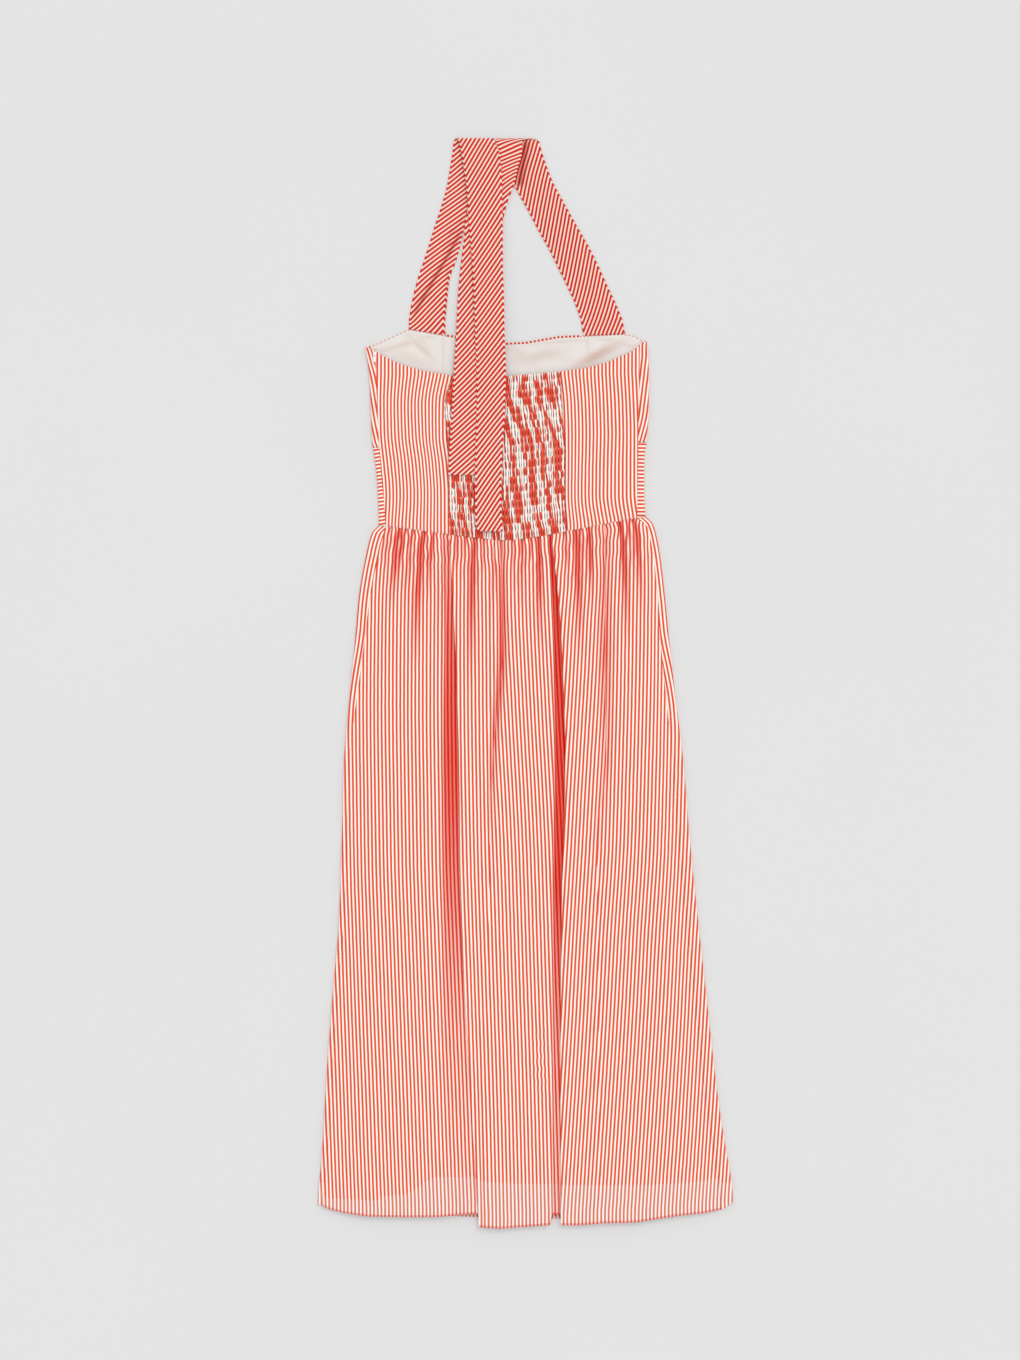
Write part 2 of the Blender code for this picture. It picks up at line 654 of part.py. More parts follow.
def zip_tape():
    """The tape below the left side seam, its upper end at the neckline."""
    grid = []
    steps = 9
    for step in range(steps + 1):
        up = ZIP_TOP + (ZIP_END - ZIP_TOP) * step / steps
        if up > LINING_WAIST:
            seam = bodice_seams(up)[0]
        else:
            seam = skirt_seams(min(up, SKIRT_ROWS[0]))[0]
        level = BODICE_SIDE - SHELL / 2 - SEAM_GAP - TAPE / 2
        grid.append([(seam + offset, up, level) for offset in TAPE_EDGES])
    return wall("zip_tape", grid, TAPE, WHITE_TAPE)


def box(name, low, high, material):
    corners = [(x, y, z) for x in (low[0], high[0]) for y in (low[1], high[1]) for z in (low[2], high[2])]
    faces = [(0, 1, 3, 2), (4, 6, 7, 5), (0, 4, 5, 1), (2, 3, 7, 6), (0, 2, 6, 4), (1, 5, 7, 3)]
    return add_object(name, corners, faces, material)


def slider_place():
    return float(bodice_seams(SLIDER_UP)[0])


def zip_slider():
    """A plate over the seam with a bridge that carries the pull, in one piece."""
    across = slider_place()
    plate_top = PLATE_LOW + PLATE
    half_width = PLATE_WIDTH / 2
    half_length = PLATE_LENGTH / 2
    half_bar = BRIDGE_BAR / 2
    post_inner = EYE_LENGTH / 2 + PULL_CLEARANCE
    post_outer = post_inner + BRIDGE_BAR
    slider = box("zip_slider", (across - half_width, SLIDER_UP - half_length, PLATE_LOW),
                 (across + half_width, SLIDER_UP + half_length, plate_top), WHITE_PULL)
    arch = box("arch", (across - post_outer, SLIDER_UP - half_bar, plate_top - PLATE / 2),
               (across + post_outer, SLIDER_UP + half_bar, BRIDGE_HEIGHT + half_bar), WHITE_PULL)
    opening = box("arch_opening", (across - post_inner, SLIDER_UP - PLATE_WIDTH, plate_top),
                  (across + post_inner, SLIDER_UP + PLATE_WIDTH, BRIDGE_HEIGHT - half_bar), WHITE_PULL)
    for helper in (arch, opening):
        helper.hide_render = True
        helper.display_type = "WIRE"
    join = slider.modifiers.new("arch", "BOOLEAN")
    join.operation = "UNION"
    join.object = arch
    cut = slider.modifiers.new("opening", "BOOLEAN")
    cut.operation = "DIFFERENCE"
    cut.object = opening
    return slider


def zip_pull():
    """An eye round the bridge and a flat tab that lies down along the zip."""
    across = slider_place()
    sides = 12
    tab_low = BRIDGE_HEIGHT - EYE_OUTER
    tab_high = tab_low + PULL_THICK
    # Side view of the eye and the tab, from the tab's end round the eye
    turns = [-pi / 2 + 2 * pi * i / sides for i in range(sides)]
    rim = [(EYE_OUTER * cos(a), EYE_OUTER * sin(a)) for a in turns]
    hole = [(EYE_INNER * cos(a), EYE_INNER * sin(a)) for a in turns]
    points = []
    faces = []
    for x in (-EYE_LENGTH / 2, EYE_LENGTH / 2):
        for y, z in rim + hole:
            points.append((across + x, SLIDER_UP + y, BRIDGE_HEIGHT + z))
    far = 2 * sides
    for i in range(sides):
        j = (i + 1) % sides
        faces.append((i, j, far + j, far + i))
        faces.append((sides + i, far + sides + i, far + sides + j, sides + j))
        faces.append((i, sides + i, sides + j, j))
        faces.append((far + i, far + j, far + sides + j, far + sides + i))
    pull = add_object("zip_pull", points, faces, WHITE_PULL)
    neck = SLIDER_UP - EYE_OUTER - TAB_NECK
    end = SLIDER_UP - PULL_LENGTH
    half_neck = EYE_LENGTH / 2
    half = PULL_WIDTH / 2
    outline = [(half_neck, SLIDER_UP - 0.35 * EYE_OUTER), (half_neck, neck), (half, neck - TAB_CORNER),
               (half, end + TAB_CORNER), (half - TAB_TAPER, end)]
    outline += [(-x, y) for x, y in reversed(outline)]
    count = len(outline)
    tab_points = [(across + x, y, tab_low + 0.05) for x, y in outline]
    tab_points += [(across + x, y, tab_high) for x, y in outline]
    tab_faces = [tuple(range(count)), tuple(range(2 * count - 1, count - 1, -1))]
    for i in range(count):
        j = (i + 1) % count
        tab_faces.append((i, j, count + j, count + i))
    tab = add_object("tab", tab_points, tab_faces, WHITE_PULL)
    tab.hide_render = True
    tab.display_type = "WIRE"
    join = pull.modifiers.new("tab", "BOOLEAN")
    join.operation = "UNION"
    join.object = tab
    return pull


skirt_front()
skirt_back()
skirt_lining()
bodice_front()
midriff_front()
bodice_lining()
back_left()
back_smocked()
back_right()
strap("halter_strap_left", LEFT_STRAP, LONG_TAIL)
strap("halter_strap_right", RIGHT_STRAP, SHORT_TAIL)
zip_tape()
zip_slider()
zip_pull()
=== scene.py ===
from math import cos, pi, sin

import bpy
import numpy as np
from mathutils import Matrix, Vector


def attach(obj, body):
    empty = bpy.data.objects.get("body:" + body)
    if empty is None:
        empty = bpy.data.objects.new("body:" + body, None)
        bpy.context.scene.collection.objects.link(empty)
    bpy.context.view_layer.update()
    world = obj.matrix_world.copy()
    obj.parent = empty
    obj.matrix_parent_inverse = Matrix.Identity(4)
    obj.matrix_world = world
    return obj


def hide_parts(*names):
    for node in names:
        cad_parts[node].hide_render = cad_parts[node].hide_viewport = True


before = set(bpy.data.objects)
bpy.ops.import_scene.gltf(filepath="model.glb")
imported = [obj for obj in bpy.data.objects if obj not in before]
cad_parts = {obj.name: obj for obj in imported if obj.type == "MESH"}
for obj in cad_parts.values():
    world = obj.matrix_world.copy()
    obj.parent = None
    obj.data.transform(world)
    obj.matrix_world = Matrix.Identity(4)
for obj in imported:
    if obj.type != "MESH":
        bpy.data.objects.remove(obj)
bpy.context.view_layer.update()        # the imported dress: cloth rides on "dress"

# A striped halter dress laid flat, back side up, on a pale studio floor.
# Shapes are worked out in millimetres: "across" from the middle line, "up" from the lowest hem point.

layers = {
    "dressLength": 1473.0,   # hem to the fold of the straps
    "clothWall": 1.0,        # the outer cloth, drawn about three times its real thickness so that edges show
    "liningWall": 0.7,
    "strapWall": 1.3,        # two layers of cloth
    "seamGap": 0.3,
    "bodiceSide": 6.0,       # the back's middle above the floor at the side seams
    "bodiceRise": 0.9,
    "sideRound": 3.0,        # how far the cloth rounds inwards at the side folds
    "liningLow": 2.0,
    "skirtLiningHigh": 3.6,
    "liningIn": 7.0,
    "stripe": 5.05,          # one red and one white stripe
}
halfGap = layers["seamGap"] / 2      # pieces sewn together stand this far from the seam between them

waistSeam = {"lowest": 928.0, "middle": -25.0, "soft": 20.0, "leftSlope": 0.13, "rightSlope": 0.19}

skirtSides = {
    "up": [0, 38, 92, 200, 308, 416, 524, 632, 713, 794, 848, 902, 930, 940],
    "left": [-281, -279, -275, -269, -261, -252, -248, -245, -238, -230, -225, -215, -207, -198],
    "right": [281, 279, 272, 257, 245, 233, 222, 213, 203, 194, 188, 180, 172, 162.2],
    "leftIn": [7, 7, 7, 7, 7, 7, 7, 7, 10, 13, 15, 17, 16, 9.5],
    "rightIn": [17, 17, 17, 17, 16, 16, 15, 14, 13, 12, 10, 9, 9, 11.4],
    "sideHeight": [5.4, 5.4, 5.5, 5.6, 5.7, 5.8, 5.8, 5.9, 6.0, 6.1, 6.2, 6.3, 6.4, 6.4],
    "crown": [11.0, 11.8, 12.4, 12.8, 13.0, 13.0, 13.0, 13.0, 12.9, 12.7, 12.5, 12.0, 10.6, 9.2],
}

bodiceSides = {
    "up": [940, 953, 996, 1039, 1061, 1104, 1147, 1169, 1189, 1220],
    "left": [-198, -198, -199.5, -203.5, -207, -209, -211, -214, -217, -218],
    "right": [163, 162.5, 160, 160.5, 163.5, 166.5, 166.5, 166, 164, 163],
}
sideSeams = {"up": [930, 1057, 1195], "left": [-187, -198, -204], "right": [150.5, 152, 154.5]}
backNeck = {
    "across": [-217, -203, -196, -179, -163, -144, -123, -98, -28, 40,
               57, 80, 94, 110, 123, 137, 147, 157, 166],
    "up": [1189, 1184.5, 1179, 1170, 1164, 1158, 1154, 1150, 1149, 1155,
           1157, 1160, 1164, 1168, 1174, 1180, 1185, 1195, 1196],
}
frontNeck = {
    "across": [-217, -204, -187, -158, -107, -94, -25, 0, 22, 45, 77, 132, 147, 157, 166],
    "up": [1189, 1192, 1199, 1213, 1204.5, 1203, 1193.5, 1194.7, 1198.5, 1202.6,
           1204, 1206.5, 1204, 1198, 1196],
}
bandTop = {"across": [-210, 170], "up": [1053, 1060]}
smockSides = {
    "leftUp": [930, 958, 1023, 1067, 1114, 1152], "left": [-100.5, -102, -103, -106, -108.5, -98],
    "rightUp": [940, 985, 1053, 1092, 1149, 1160], "right": [55.5, 52.5, 52.5, 50, 46, 45],
}


# Small tools

def hexColor(text):      # sRGB hex to the linear colour that shaders take
    parts = [int(text[i:i + 2], 16) / 255 for i in (1, 3, 5)]
    return (*[p / 12.92 if p <= 0.04045 else ((p + 0.055) / 1.055) ** 2.4 for p in parts], 1.0)


def addNode(tree, kind, inputs=None, **settings):    # one node with its settings, values and links
    node = tree.nodes.new(kind)
    for name, value in settings.items():
        setattr(node, name, value)
    for key, value in (inputs or {}).items():
        if isinstance(value, bpy.types.NodeSocket):
            tree.links.new(value, node.inputs[key])
        else:
            node.inputs[key].default_value = value
    return node


def lineAt(keys, values, at):        # straight between the rows of a table
    order = np.argsort(keys)
    return np.interp(at, np.asarray(keys, float)[order], np.asarray(values, float)[order])


def curveAt(keys, values, at):       # a smooth line through the rows of a table, without overshoot
    order = np.argsort(keys)
    keys = np.asarray(keys, float)[order]
    values = np.asarray(values, float)[order]
    step = np.diff(keys)
    slope = np.diff(values) / step
    tangent = np.zeros(len(values))
    tangent[0], tangent[-1] = slope[0], slope[-1]
    product = slope[:-1] * slope[1:]
    total = np.where(product > 0, slope[:-1] + slope[1:], 1.0)
    tangent[1:-1] = np.where(product > 0, 2 * product / total, 0.0)
    at = np.clip(np.asarray(at, float), keys[0], keys[-1])
    i = np.clip(np.searchsorted(keys, at) - 1, 0, len(step) - 1)
    t = (at - keys[i]) / step[i]
    return ((1 + 2 * t) * (1 - t) ** 2 * values[i] + t * (1 - t) ** 2 * step[i] * tangent[i]
            + t * t * (3 - 2 * t) * values[i + 1] + t * t * (t - 1) * step[i] * tangent[i + 1])


def soft(share):                     # 0 to 1 with a soft start and end
    share = np.clip(share, 0.0, 1.0)
    return share * share * (3 - 2 * share)


def bump(distance):                  # 1 at 0, fading softly to 0 at 1
    return soft(1 - np.abs(distance))


def ripples(a, b, lengths, seed):    # uneven soft waves between -1 and 1, the same every time
    chance = np.random.default_rng(seed)
    total = np.zeros(np.broadcast(a, b).shape)
    for length in lengths:
        turn, phase, cross = chance.uniform(-0.5, 0.5), chance.uniform(0, 2 * pi), chance.uniform(0, 2 * pi)
        along = a * cos(turn) + b * sin(turn)
        side = b * cos(turn) - a * sin(turn)
        bend = 0.9 * np.sin(2 * pi * side / (3.1 * length) + cross)
        total = total + np.sin(2 * pi * along / length + phase + bend)
    return total / len(lengths)


def waistLine(across):
    away = np.asarray(across, float) - waistSeam["middle"]
    slope = np.where(away < 0, waistSeam["leftSlope"], waistSeam["rightSlope"])
    return waistSeam["lowest"] + slope * (np.sqrt(away ** 2 + waistSeam["soft"] ** 2) - waistSeam["soft"])


def inMetres(points):                # across, up and height in millimetres to the frame
    points = np.asarray(points, float)
    return (points - [0, layers["dressLength"] / 2, 0]) / 1000


def polyline(points):                # length along a row of points
    steps = np.linalg.norm(np.diff(points, axis=0), axis=1)
    return np.concatenate([[0.0], np.cumsum(steps)])


def setPattern(mesh, places):        # a pattern place in mm for each point becomes the cloth's UV map
    corners = np.zeros(len(mesh.loops), np.int32)
    mesh.loops.foreach_get("vertex_index", corners)
    spread = (np.asarray(places, float) / 1000).astype(np.float32)
    mesh.uv_layers.new(name="cloth").data.foreach_set("uv", spread[corners].ravel())


def setMark(mesh, mark, values):     # one value for each point, which the materials read
    made = mesh.attributes.new(mark, "FLOAT", "POINT")
    made.data.foreach_set("value", np.asarray(values, float).astype(np.float32).ravel())


def makeShell(name, grid, wall, face, under=None, ring=False, marks=None):
    # A closed thin wall round a grid of middle points, rows by columns
    # face and under are the pattern's places on its two sides in mm
    grid = np.asarray(grid, float)
    rows, columns = grid.shape[:2]
    along = np.roll(grid, -1, axis=1) - np.roll(grid, 1, axis=1) if ring else np.gradient(grid, axis=1)
    normal = np.cross(np.gradient(grid, axis=0), along)
    normal /= np.maximum(np.linalg.norm(normal, axis=2, keepdims=True), 1e-9)
    wall = np.asarray(wall, float)
    if wall.ndim == 2:
        wall = wall[:, :, None]
    half = normal * wall / 2
    points = np.concatenate([(grid + half).reshape(-1, 3), (grid - half).reshape(-1, 3)])
    count = rows * columns
    index = np.arange(count).reshape(rows, columns)
    right = np.roll(index, -1, axis=1)
    steps = columns if ring else columns - 1
    a, b = index[:-1, :steps].ravel(), right[:-1, :steps].ravel()
    d, c = index[1:, :steps].ravel(), right[1:, :steps].ravel()
    quads = [np.stack([a, d, c, b], 1), np.stack([a, b, c, d], 1) + count]
    top, topNext = index[0, :steps], right[0, :steps]
    low, lowNext = index[-1, :steps], right[-1, :steps]
    quads += [np.stack([top, topNext, topNext + count, top + count], 1),
              np.stack([lowNext, low, low + count, lowNext + count], 1)]
    if not ring:
        first, second = index[:-1, 0], index[1:, 0]
        quads.append(np.stack([second, first, first + count, second + count], 1))
        first, second = index[:-1, -1], index[1:, -1]
        quads.append(np.stack([first, second, second + count, first + count], 1))
    faces = np.concatenate(quads)
    mesh = bpy.data.meshes.new(name)
    mesh.from_pydata(inMetres(points).tolist(), [], faces.tolist())
    sides = (face, face if under is None else under)
    setPattern(mesh, np.concatenate([np.asarray(side, float).reshape(-1, 2) for side in sides]))
    for mark, values in (marks or {}).items():
        setMark(mesh, mark, np.concatenate([np.asarray(values, float).ravel()] * 2))
    mesh.shade_smooth()
    return finishPiece(name, mesh)


def finishPiece(name, mesh):
    piece = bpy.data.objects.new(name, mesh)
    bpy.context.scene.collection.objects.link(piece)
    return piece


# Materials

def newMaterial(name):
    material = bpy.data.materials.new(name)
    material.use_nodes = True
    tree = material.node_tree
    return material, tree, tree.nodes["Principled BSDF"]


def mixColours(tree, share, first, second):      # each side is a hex text or a colour socket
    sides = [hexColor(side) if isinstance(side, str) else side for side in (first, second)]
    return addNode(tree, "ShaderNodeMix", {"Factor": share, "A": sides[0], "B": sides[1]},
                   data_type="RGBA").outputs["Result"]


def relief(tree, height, strength):  # shallow bumps, 0.2 mm from low to high at full strength
    return addNode(tree, "ShaderNodeBump",
                   {"Strength": strength, "Distance": 0.0002, "Height": height}).outputs[0]


def wovenRelief(tree, place, thread, strength):      # plain weave: two sets of threads crossing
    crossed = []
    for direction in ("X", "Y"):
        wave = addNode(tree, "ShaderNodeTexWave",
                       {"Vector": place, "Scale": 0.314 / thread, "Distortion": 0.6,
                        "Detail": 1.0, "Detail Scale": 1.5},
                       wave_type="BANDS", bands_direction=direction, wave_profile="SIN")
        crossed.append(wave.outputs["Fac"])
    weave = addNode(tree, "ShaderNodeMath", {0: crossed[0], 1: crossed[1]}, operation="MULTIPLY")
    return relief(tree, weave.outputs[0], strength)


def cloudiness(tree, place, scale, detail):
    return addNode(tree, "ShaderNodeTexNoise",
                   {"Vector": place, "Scale": scale, "Detail": detail}).outputs["Fac"]


def finishMaterial(tree, shader, colour, bumps, values):
    tree.links.new(colour, shader.inputs["Base Color"])
    if bumps:
        tree.links.new(bumps, shader.inputs["Normal"])
    for name, value in values.items():
        shader.inputs[name].default_value = value


def stripedCotton(name, colours, redShare):
    # Fine plain-weave cotton voile printed in narrow stripes: matt, slightly sheer, the print's edges soft
    printEdge = 0.08
    material, tree, shader = newMaterial(name)
    uv = addNode(tree, "ShaderNodeUVMap", uv_map="cloth").outputs[0]
    wander = cloudiness(tree, uv, 60.0, 2.0)
    across = addNode(tree, "ShaderNodeSeparateXYZ", {0: uv})
    shifted = addNode(tree, "ShaderNodeMath", {0: wander, 1: 0.0006, 2: across.outputs[0]},
                      operation="MULTIPLY_ADD")
    turns = addNode(tree, "ShaderNodeMath", {0: shifted.outputs[0], 1: 2000 / layers["stripe"]},
                    operation="MULTIPLY")
    wave = addNode(tree, "ShaderNodeMath", {0: turns.outputs[0], 1: 1.0}, operation="PINGPONG")
    stripe = addNode(tree, "ShaderNodeMapRange",
                     {"Value": wave.outputs[0], "From Min": 1 - redShare - printEdge,
                      "From Max": 1 - redShare + printEdge},
                     interpolation_type="SMOOTHSTEP").outputs[0]
    ink = cloudiness(tree, uv, 900.0, 3.0)
    red = mixColours(tree, ink, colours["red"], colours["redLight"])
    white = mixColours(tree, ink, colours["white"], colours["whiteWarm"])
    # Where no lining lies behind it the cloth lets the pale floor through, so the red is paler
    lined = addNode(tree, "ShaderNodeAttribute", attribute_name="aboveLining").outputs["Fac"]
    bare = addNode(tree, "ShaderNodeMapRange", {"Value": lined, "From Min": 0.8, "From Max": -0.8}).outputs[0]
    sheerRed = mixColours(tree, bare, red, colours["redBare"])
    sheerWhite = mixColours(tree, bare, white, colours["whiteBare"])
    printed = mixColours(tree, stripe, sheerWhite, sheerRed)
    # Painted shade: deep in a fold, where light comes only through red cloth, white is painted salmon and red
    # crimson
    paintedShade = addNode(tree, "ShaderNodeAttribute", attribute_name="paintedShade").outputs["Fac"]
    shadedPrint = mixColours(tree, stripe, colours["shadeWhite"], colours["shadeRed"])
    threads = wovenRelief(tree, uv, 0.0006, 0.35)    # real threads are 0.2 mm apart, drawn at 0.6 mm
    finishMaterial(tree, shader, mixColours(tree, paintedShade, printed, shadedPrint), threads, {
        "Roughness": 0.86, "Specular IOR Level": 0.25, "Sheen Weight": 0.12, "Sheen Roughness": 0.5})
    return material


def plainLining(name):
    # White cotton-viscose lawn: smooth threads, a soft sheen, a pinkish grey painted shade along its folds
    # and a faint line at its seams
    material, tree, shader = newMaterial(name)
    uv = addNode(tree, "ShaderNodeUVMap", uv_map="cloth").outputs[0]
    base = mixColours(tree, cloudiness(tree, uv, 14.0, 2.0), "#E3DEDA", "#DCD5D0")
    shadeAndSeamLine = addNode(tree, "ShaderNodeAttribute", attribute_name="shadeAndSeamLine").outputs["Fac"]
    threads = wovenRelief(tree, uv, 0.0005, 0.2)     # drawn coarser than the real 0.15 mm threads
    # Painted shade: pinkish grey mixed in along the folds, and a faint seam line
    finishMaterial(tree, shader, mixColours(tree, shadeAndSeamLine, base, "#C3A496"), threads, {
        "Roughness": 0.55, "Sheen Weight": 0.25, "Sheen Roughness": 0.4})
    return material


def zipTapeWeave(name):
    # Woven polyester zip tape: bright white with fine ribs along it
    material, tree, shader = newMaterial(name)
    place = addNode(tree, "ShaderNodeTexCoord").outputs["Object"]
    ribs = addNode(tree, "ShaderNodeTexWave", {"Vector": place, "Scale": 500.0},
                   wave_type="BANDS", bands_direction="X").outputs["Fac"]
    finishMaterial(tree, shader, mixColours(tree, ribs, "#EFEDE9", "#DEDAD5"), relief(tree, ribs, 0.3), {
        "Roughness": 0.7})
    return material


def whiteEnamel(name):
    # White stove enamel on die-cast zinc: glossy, slightly uneven, a little warm from handling
    material, tree, shader = newMaterial(name)
    place = addNode(tree, "ShaderNodeTexCoord").outputs["Object"]
    worn = cloudiness(tree, place, 700.0, 3.0)
    finishMaterial(tree, shader, mixColours(tree, worn, "#F6F4F0", "#E4E0DA"), relief(tree, worn, 0.12), {
        "Roughness": 0.28, "Coat Weight": 0.4, "Coat Roughness": 0.12})
    return material


def sewingThread(name):
    # Spun polyester sewing thread: matt with a faint twist across it
    material, tree, shader = newMaterial(name)
    place = addNode(tree, "ShaderNodeTexCoord").outputs["Object"]
    twist = cloudiness(tree, place, 2500.0, 1.0)
    finishMaterial(tree, shader, mixColours(tree, twist, "#E8E2DA", "#D9CFC6"), None, {"Roughness": 0.75})
    return material


# The fold colours of each cloth are painted shade, mixed in deep in folds, gathers, slots and creases
cotton = stripedCotton("stripedCottonVoile", {
    "red": "#E24426", "redLight": "#E45235", "white": "#F5F3E9", "whiteWarm": "#F0EBDE",
    "redBare": "#DC7460", "whiteBare": "#F0EEE8", "shadeWhite": "#E2604A", "shadeRed": "#CE0A06",
}, 0.53)
# The shirred panel's copy: whites a little brighter as a painted highlight, and dark fold colours painted as
# shade in the slots between its tubes
smockedCotton = stripedCotton("stripedCottonShirred", {
    "red": "#E23F24", "redLight": "#E45235", "white": "#FAF8F0", "whiteWarm": "#F2EDE2",
    "redBare": "#E23F24", "whiteBare": "#FAF8F0", "shadeWhite": "#6A2A28", "shadeRed": "#8E0C08",
}, 0.53)
strapCotton = stripedCotton("stripedCottonBias", {
    "red": "#C8160F", "redLight": "#D02418", "white": "#EEDCCD", "whiteWarm": "#E8CFBE",
    "redBare": "#C8160F", "whiteBare": "#EEDCCD", "shadeWhite": "#C04A38", "shadeRed": "#900806",
}, 0.56)
lining = plainLining("cottonLawnLining")
tapeWeave = zipTapeWeave("polyesterZipTape")
enamel = whiteEnamel("whiteStoveEnamel")
thread = sewingThread("sewingThread")
print("materials ready")


# Back skirt: five panels between two laps and two short dips, gathered into the waist

backSkirt = {
    "top": 940.0, "bottom": 10.0,
    "edgeReach": 130.0,      # how far down the rows follow the slanted waist, and up the hem
    "sag": 1.2,              # a panel lies lower in its middle
    "sideSlope": 0.4,
    "floor": 5.3,
    "columns": (66, 22, 42, 24, 60),
    # Each fold by height: where it starts to fall, its floor and the next panel's edge, its depth, how much
    # shade is painted in it
    "folds": (
        dict(up=[0, 227, 443, 632, 794, 942], soft=[-115, -125, -119.5, -119.5, -114, -118],
             floor=[-94, -104, -106, -107, -106, -110], edge=[-62, -76, -86, -88.5, -94, -102],
             depth=[1.8, 3.2, 5.2, 6.0, 5.6, 3.6], tone=[0.2, 0.45, 0.8, 0.95, 0.9, 0.75],
             lap=0.8, shoulder=4.5, steps=3),
        dict(up=[0, 300, 520, 632, 794, 942], soft=[-54, -60, -57, -54, -42, -41],
             floor=[-49, -51, -48.5, -44.5, -31.5, -33], edge=[-43, -44, -44, -40, -26.5, -28],
             depth=[0.0, 0.0, 1.8, 4.4, 5.6, 4.4], tone=[0, 0.3, 0.75, 0.9, 1.0, 0.95],
             lap=0.0, shoulder=6.5, steps=2),
        dict(up=[0, 227, 443, 632, 794, 942], soft=[31, 32, 32, 35, 34.5, 27.5],
             floor=[38, 39.5, 40, 42.5, 40, 31.5], edge=[48.5, 48, 50, 54.5, 49.5, 36],
             depth=[4.2, 4.8, 5.8, 6.4, 6.6, 4.4], tone=[0.5, 0.7, 1.0, 1.4, 1.5, 1.4],
             lap=1.4, shoulder=5.4, steps=3),
        dict(up=[0, 300, 521, 632, 794, 942], soft=[92, 90, 87, 94.5, 90.5, 99],
             floor=[99, 98, 96, 108, 107, 107], edge=[107, 106, 105, 117, 117, 113],
             depth=[0.0, 0.5, 2.0, 3.8, 4.8, 3.8], tone=[0, 0.4, 0.6, 0.7, 0.75, 0.7],
             lap=0.0, shoulder=6.5, steps=2),
    ),
    # How the fold shade is painted: where it starts, at what depth it is full, how fast it grows
    "foldShade": dict(clear=0.7, depth=5.2, ramp=1.3),
    "hems": (
        dict(across=[-281, -263, -242, -212, -160, -118, -67], up=[34, 26, 21.5, 17.5, 16.5, 17, 21]),
        dict(across=[-62, -34, 32], up=[3, 1, 6]),
        dict(across=[-62, -34, 32], up=[3, 1, 6]),
        dict(across=[48, 71, 106], up=[6, 5.5, 8.5]),
        dict(across=[106, 149, 210, 241, 267, 281], up=[8.5, 9.5, 19, 21.5, 27, 37]),
    ),
    "pleatHem": dict(panel=2, up=19.5),      # the floor of the right lap ends higher than its edges
    # How far the stripes of each panel have moved to the right on their way down
    "drift": (
        dict(up=[940, 841, 706, 585, 490, 389, 281, 180, 92, 24],
             by=[0, -3.2, -4.0, -2.5, -1.0, 2.5, 6.5, 10.5, 13.5, 16]),
        dict(up=[940, 713, 520, 335, 180, 24], by=[0, 1, 4, 10, 15, 19]),
        dict(up=[940, 848, 713, 520, 335, 180, 24], by=[-14, -12, -6, 4, 10, 15, 19]),
        dict(up=[940, 875, 814, 747, 585, 520, 389, 281, 24],
             by=[0, -1.1, -4.9, -8.4, -18, -21.5, -29.5, -35.5, -52]),
        dict(up=[940, 875, 814, 747, 585, 520, 389, 281, 24],
             by=[-12, -13, -14.5, -15.5, -19.5, -21.5, -29.5, -35.5, -52]),
    ),
    # Small gathers drawn in by the waist seam: where, how wide, how deep, how far down they run
    "gathers": (
        (-181, 4, 0.9, 46), (-168, 3.5, 1.7, 74), (-160.7, 3, 1.3, 52), (-150, 4, 0.8, 90),
        (-135.7, 4, 1.9, 128), (-122.7, 3.5, 1.6, 66), (-109, 3.5, 1.3, 120), (-91.7, 3.5, 1.6, 92),
        (-80, 3, 0.9, 50), (-67.6, 4, 1.9, 150), (-55, 3, 0.8, 44), (-40, 3.5, 1.7, 104),
        (-26.3, 3, 1.6, 130), (-17.7, 3, 1.3, 70), (-5, 4, 0.9, 88), (6, 3, 0.8, 40),
        (17.4, 3.5, 1.9, 112), (31.3, 3.5, 1.4, 60), (39, 3, 1.5, 96), (53, 3.5, 0.9, 54),
        (66.8, 4, 1.9, 118), (75, 3, 0.8, 46), (84, 3.5, 1.7, 84), (95, 3, 0.8, 60),
        (104.2, 3, 1.6, 132), (112, 3, 1.3, 64), (125.8, 4, 1.8, 108), (135, 3, 0.8, 48),
        (144.5, 3.5, 1.6, 82),
    ),
    "gatherForm": dict(width=0.8, widen=0.9, depth=2.9, reach=1.7, fade=1.5, waistWidth=338.0),
    # How much shade is painted in the gathers' dips
    "gatherShade": dict(most=0.9, clear=0.2, depth=2.4),
    # Soft creases further down: across and up of their ends, width, height
    "creases": (
        (18, 310, 31, 114, 9, -0.7), (8, 262, 22, 196, 5, 0.6), (-150, 520, -158, 240, 26, -0.9),
        (-205, 640, -214, 300, 24, 0.8), (-178, 330, -170, 60, 22, 0.7), (150, 560, 172, 250, 26, -0.9),
        (196, 420, 214, 120, 20, 0.8), (84, 420, 92, 80, 20, -0.6), (-20, 560, -16, 300, 20, -0.8),
        (128, 760, 150, 560, 12, 0.8), (-182, 790, -196, 640, 12, -0.8), (70, 640, 66, 420, 14, 0.5),
    ),
    # Small puckers beside the right lap: raised in the cloth, and drawn into its stripes
    "puckers": dict(up=238, reach=52, across=22, halfWidth=14, pitch=11, height=0.5),
    "stripePuckers": dict(up=225, reach=66, across=20, halfWidth=15, pitch=17, shift=0.9),
    # Where the lining's hem ends behind the cloth
    "liningHem": dict(across=[-281, -202, -190, -160, -125, -70, -59, -15, 60, 164, 230, 281],
                      up=[42, 39, 45, 47, 70, 71, 64, 62, 60, 60, 64, 72]),
}


def sideSeamsOfSkirt(up):
    left = curveAt(skirtSides["up"], skirtSides["left"], up)
    right = curveAt(skirtSides["up"], skirtSides["right"], up)
    return (left + lineAt(skirtSides["up"], skirtSides["leftIn"], up),
            right - lineAt(skirtSides["up"], skirtSides["rightIn"], up))


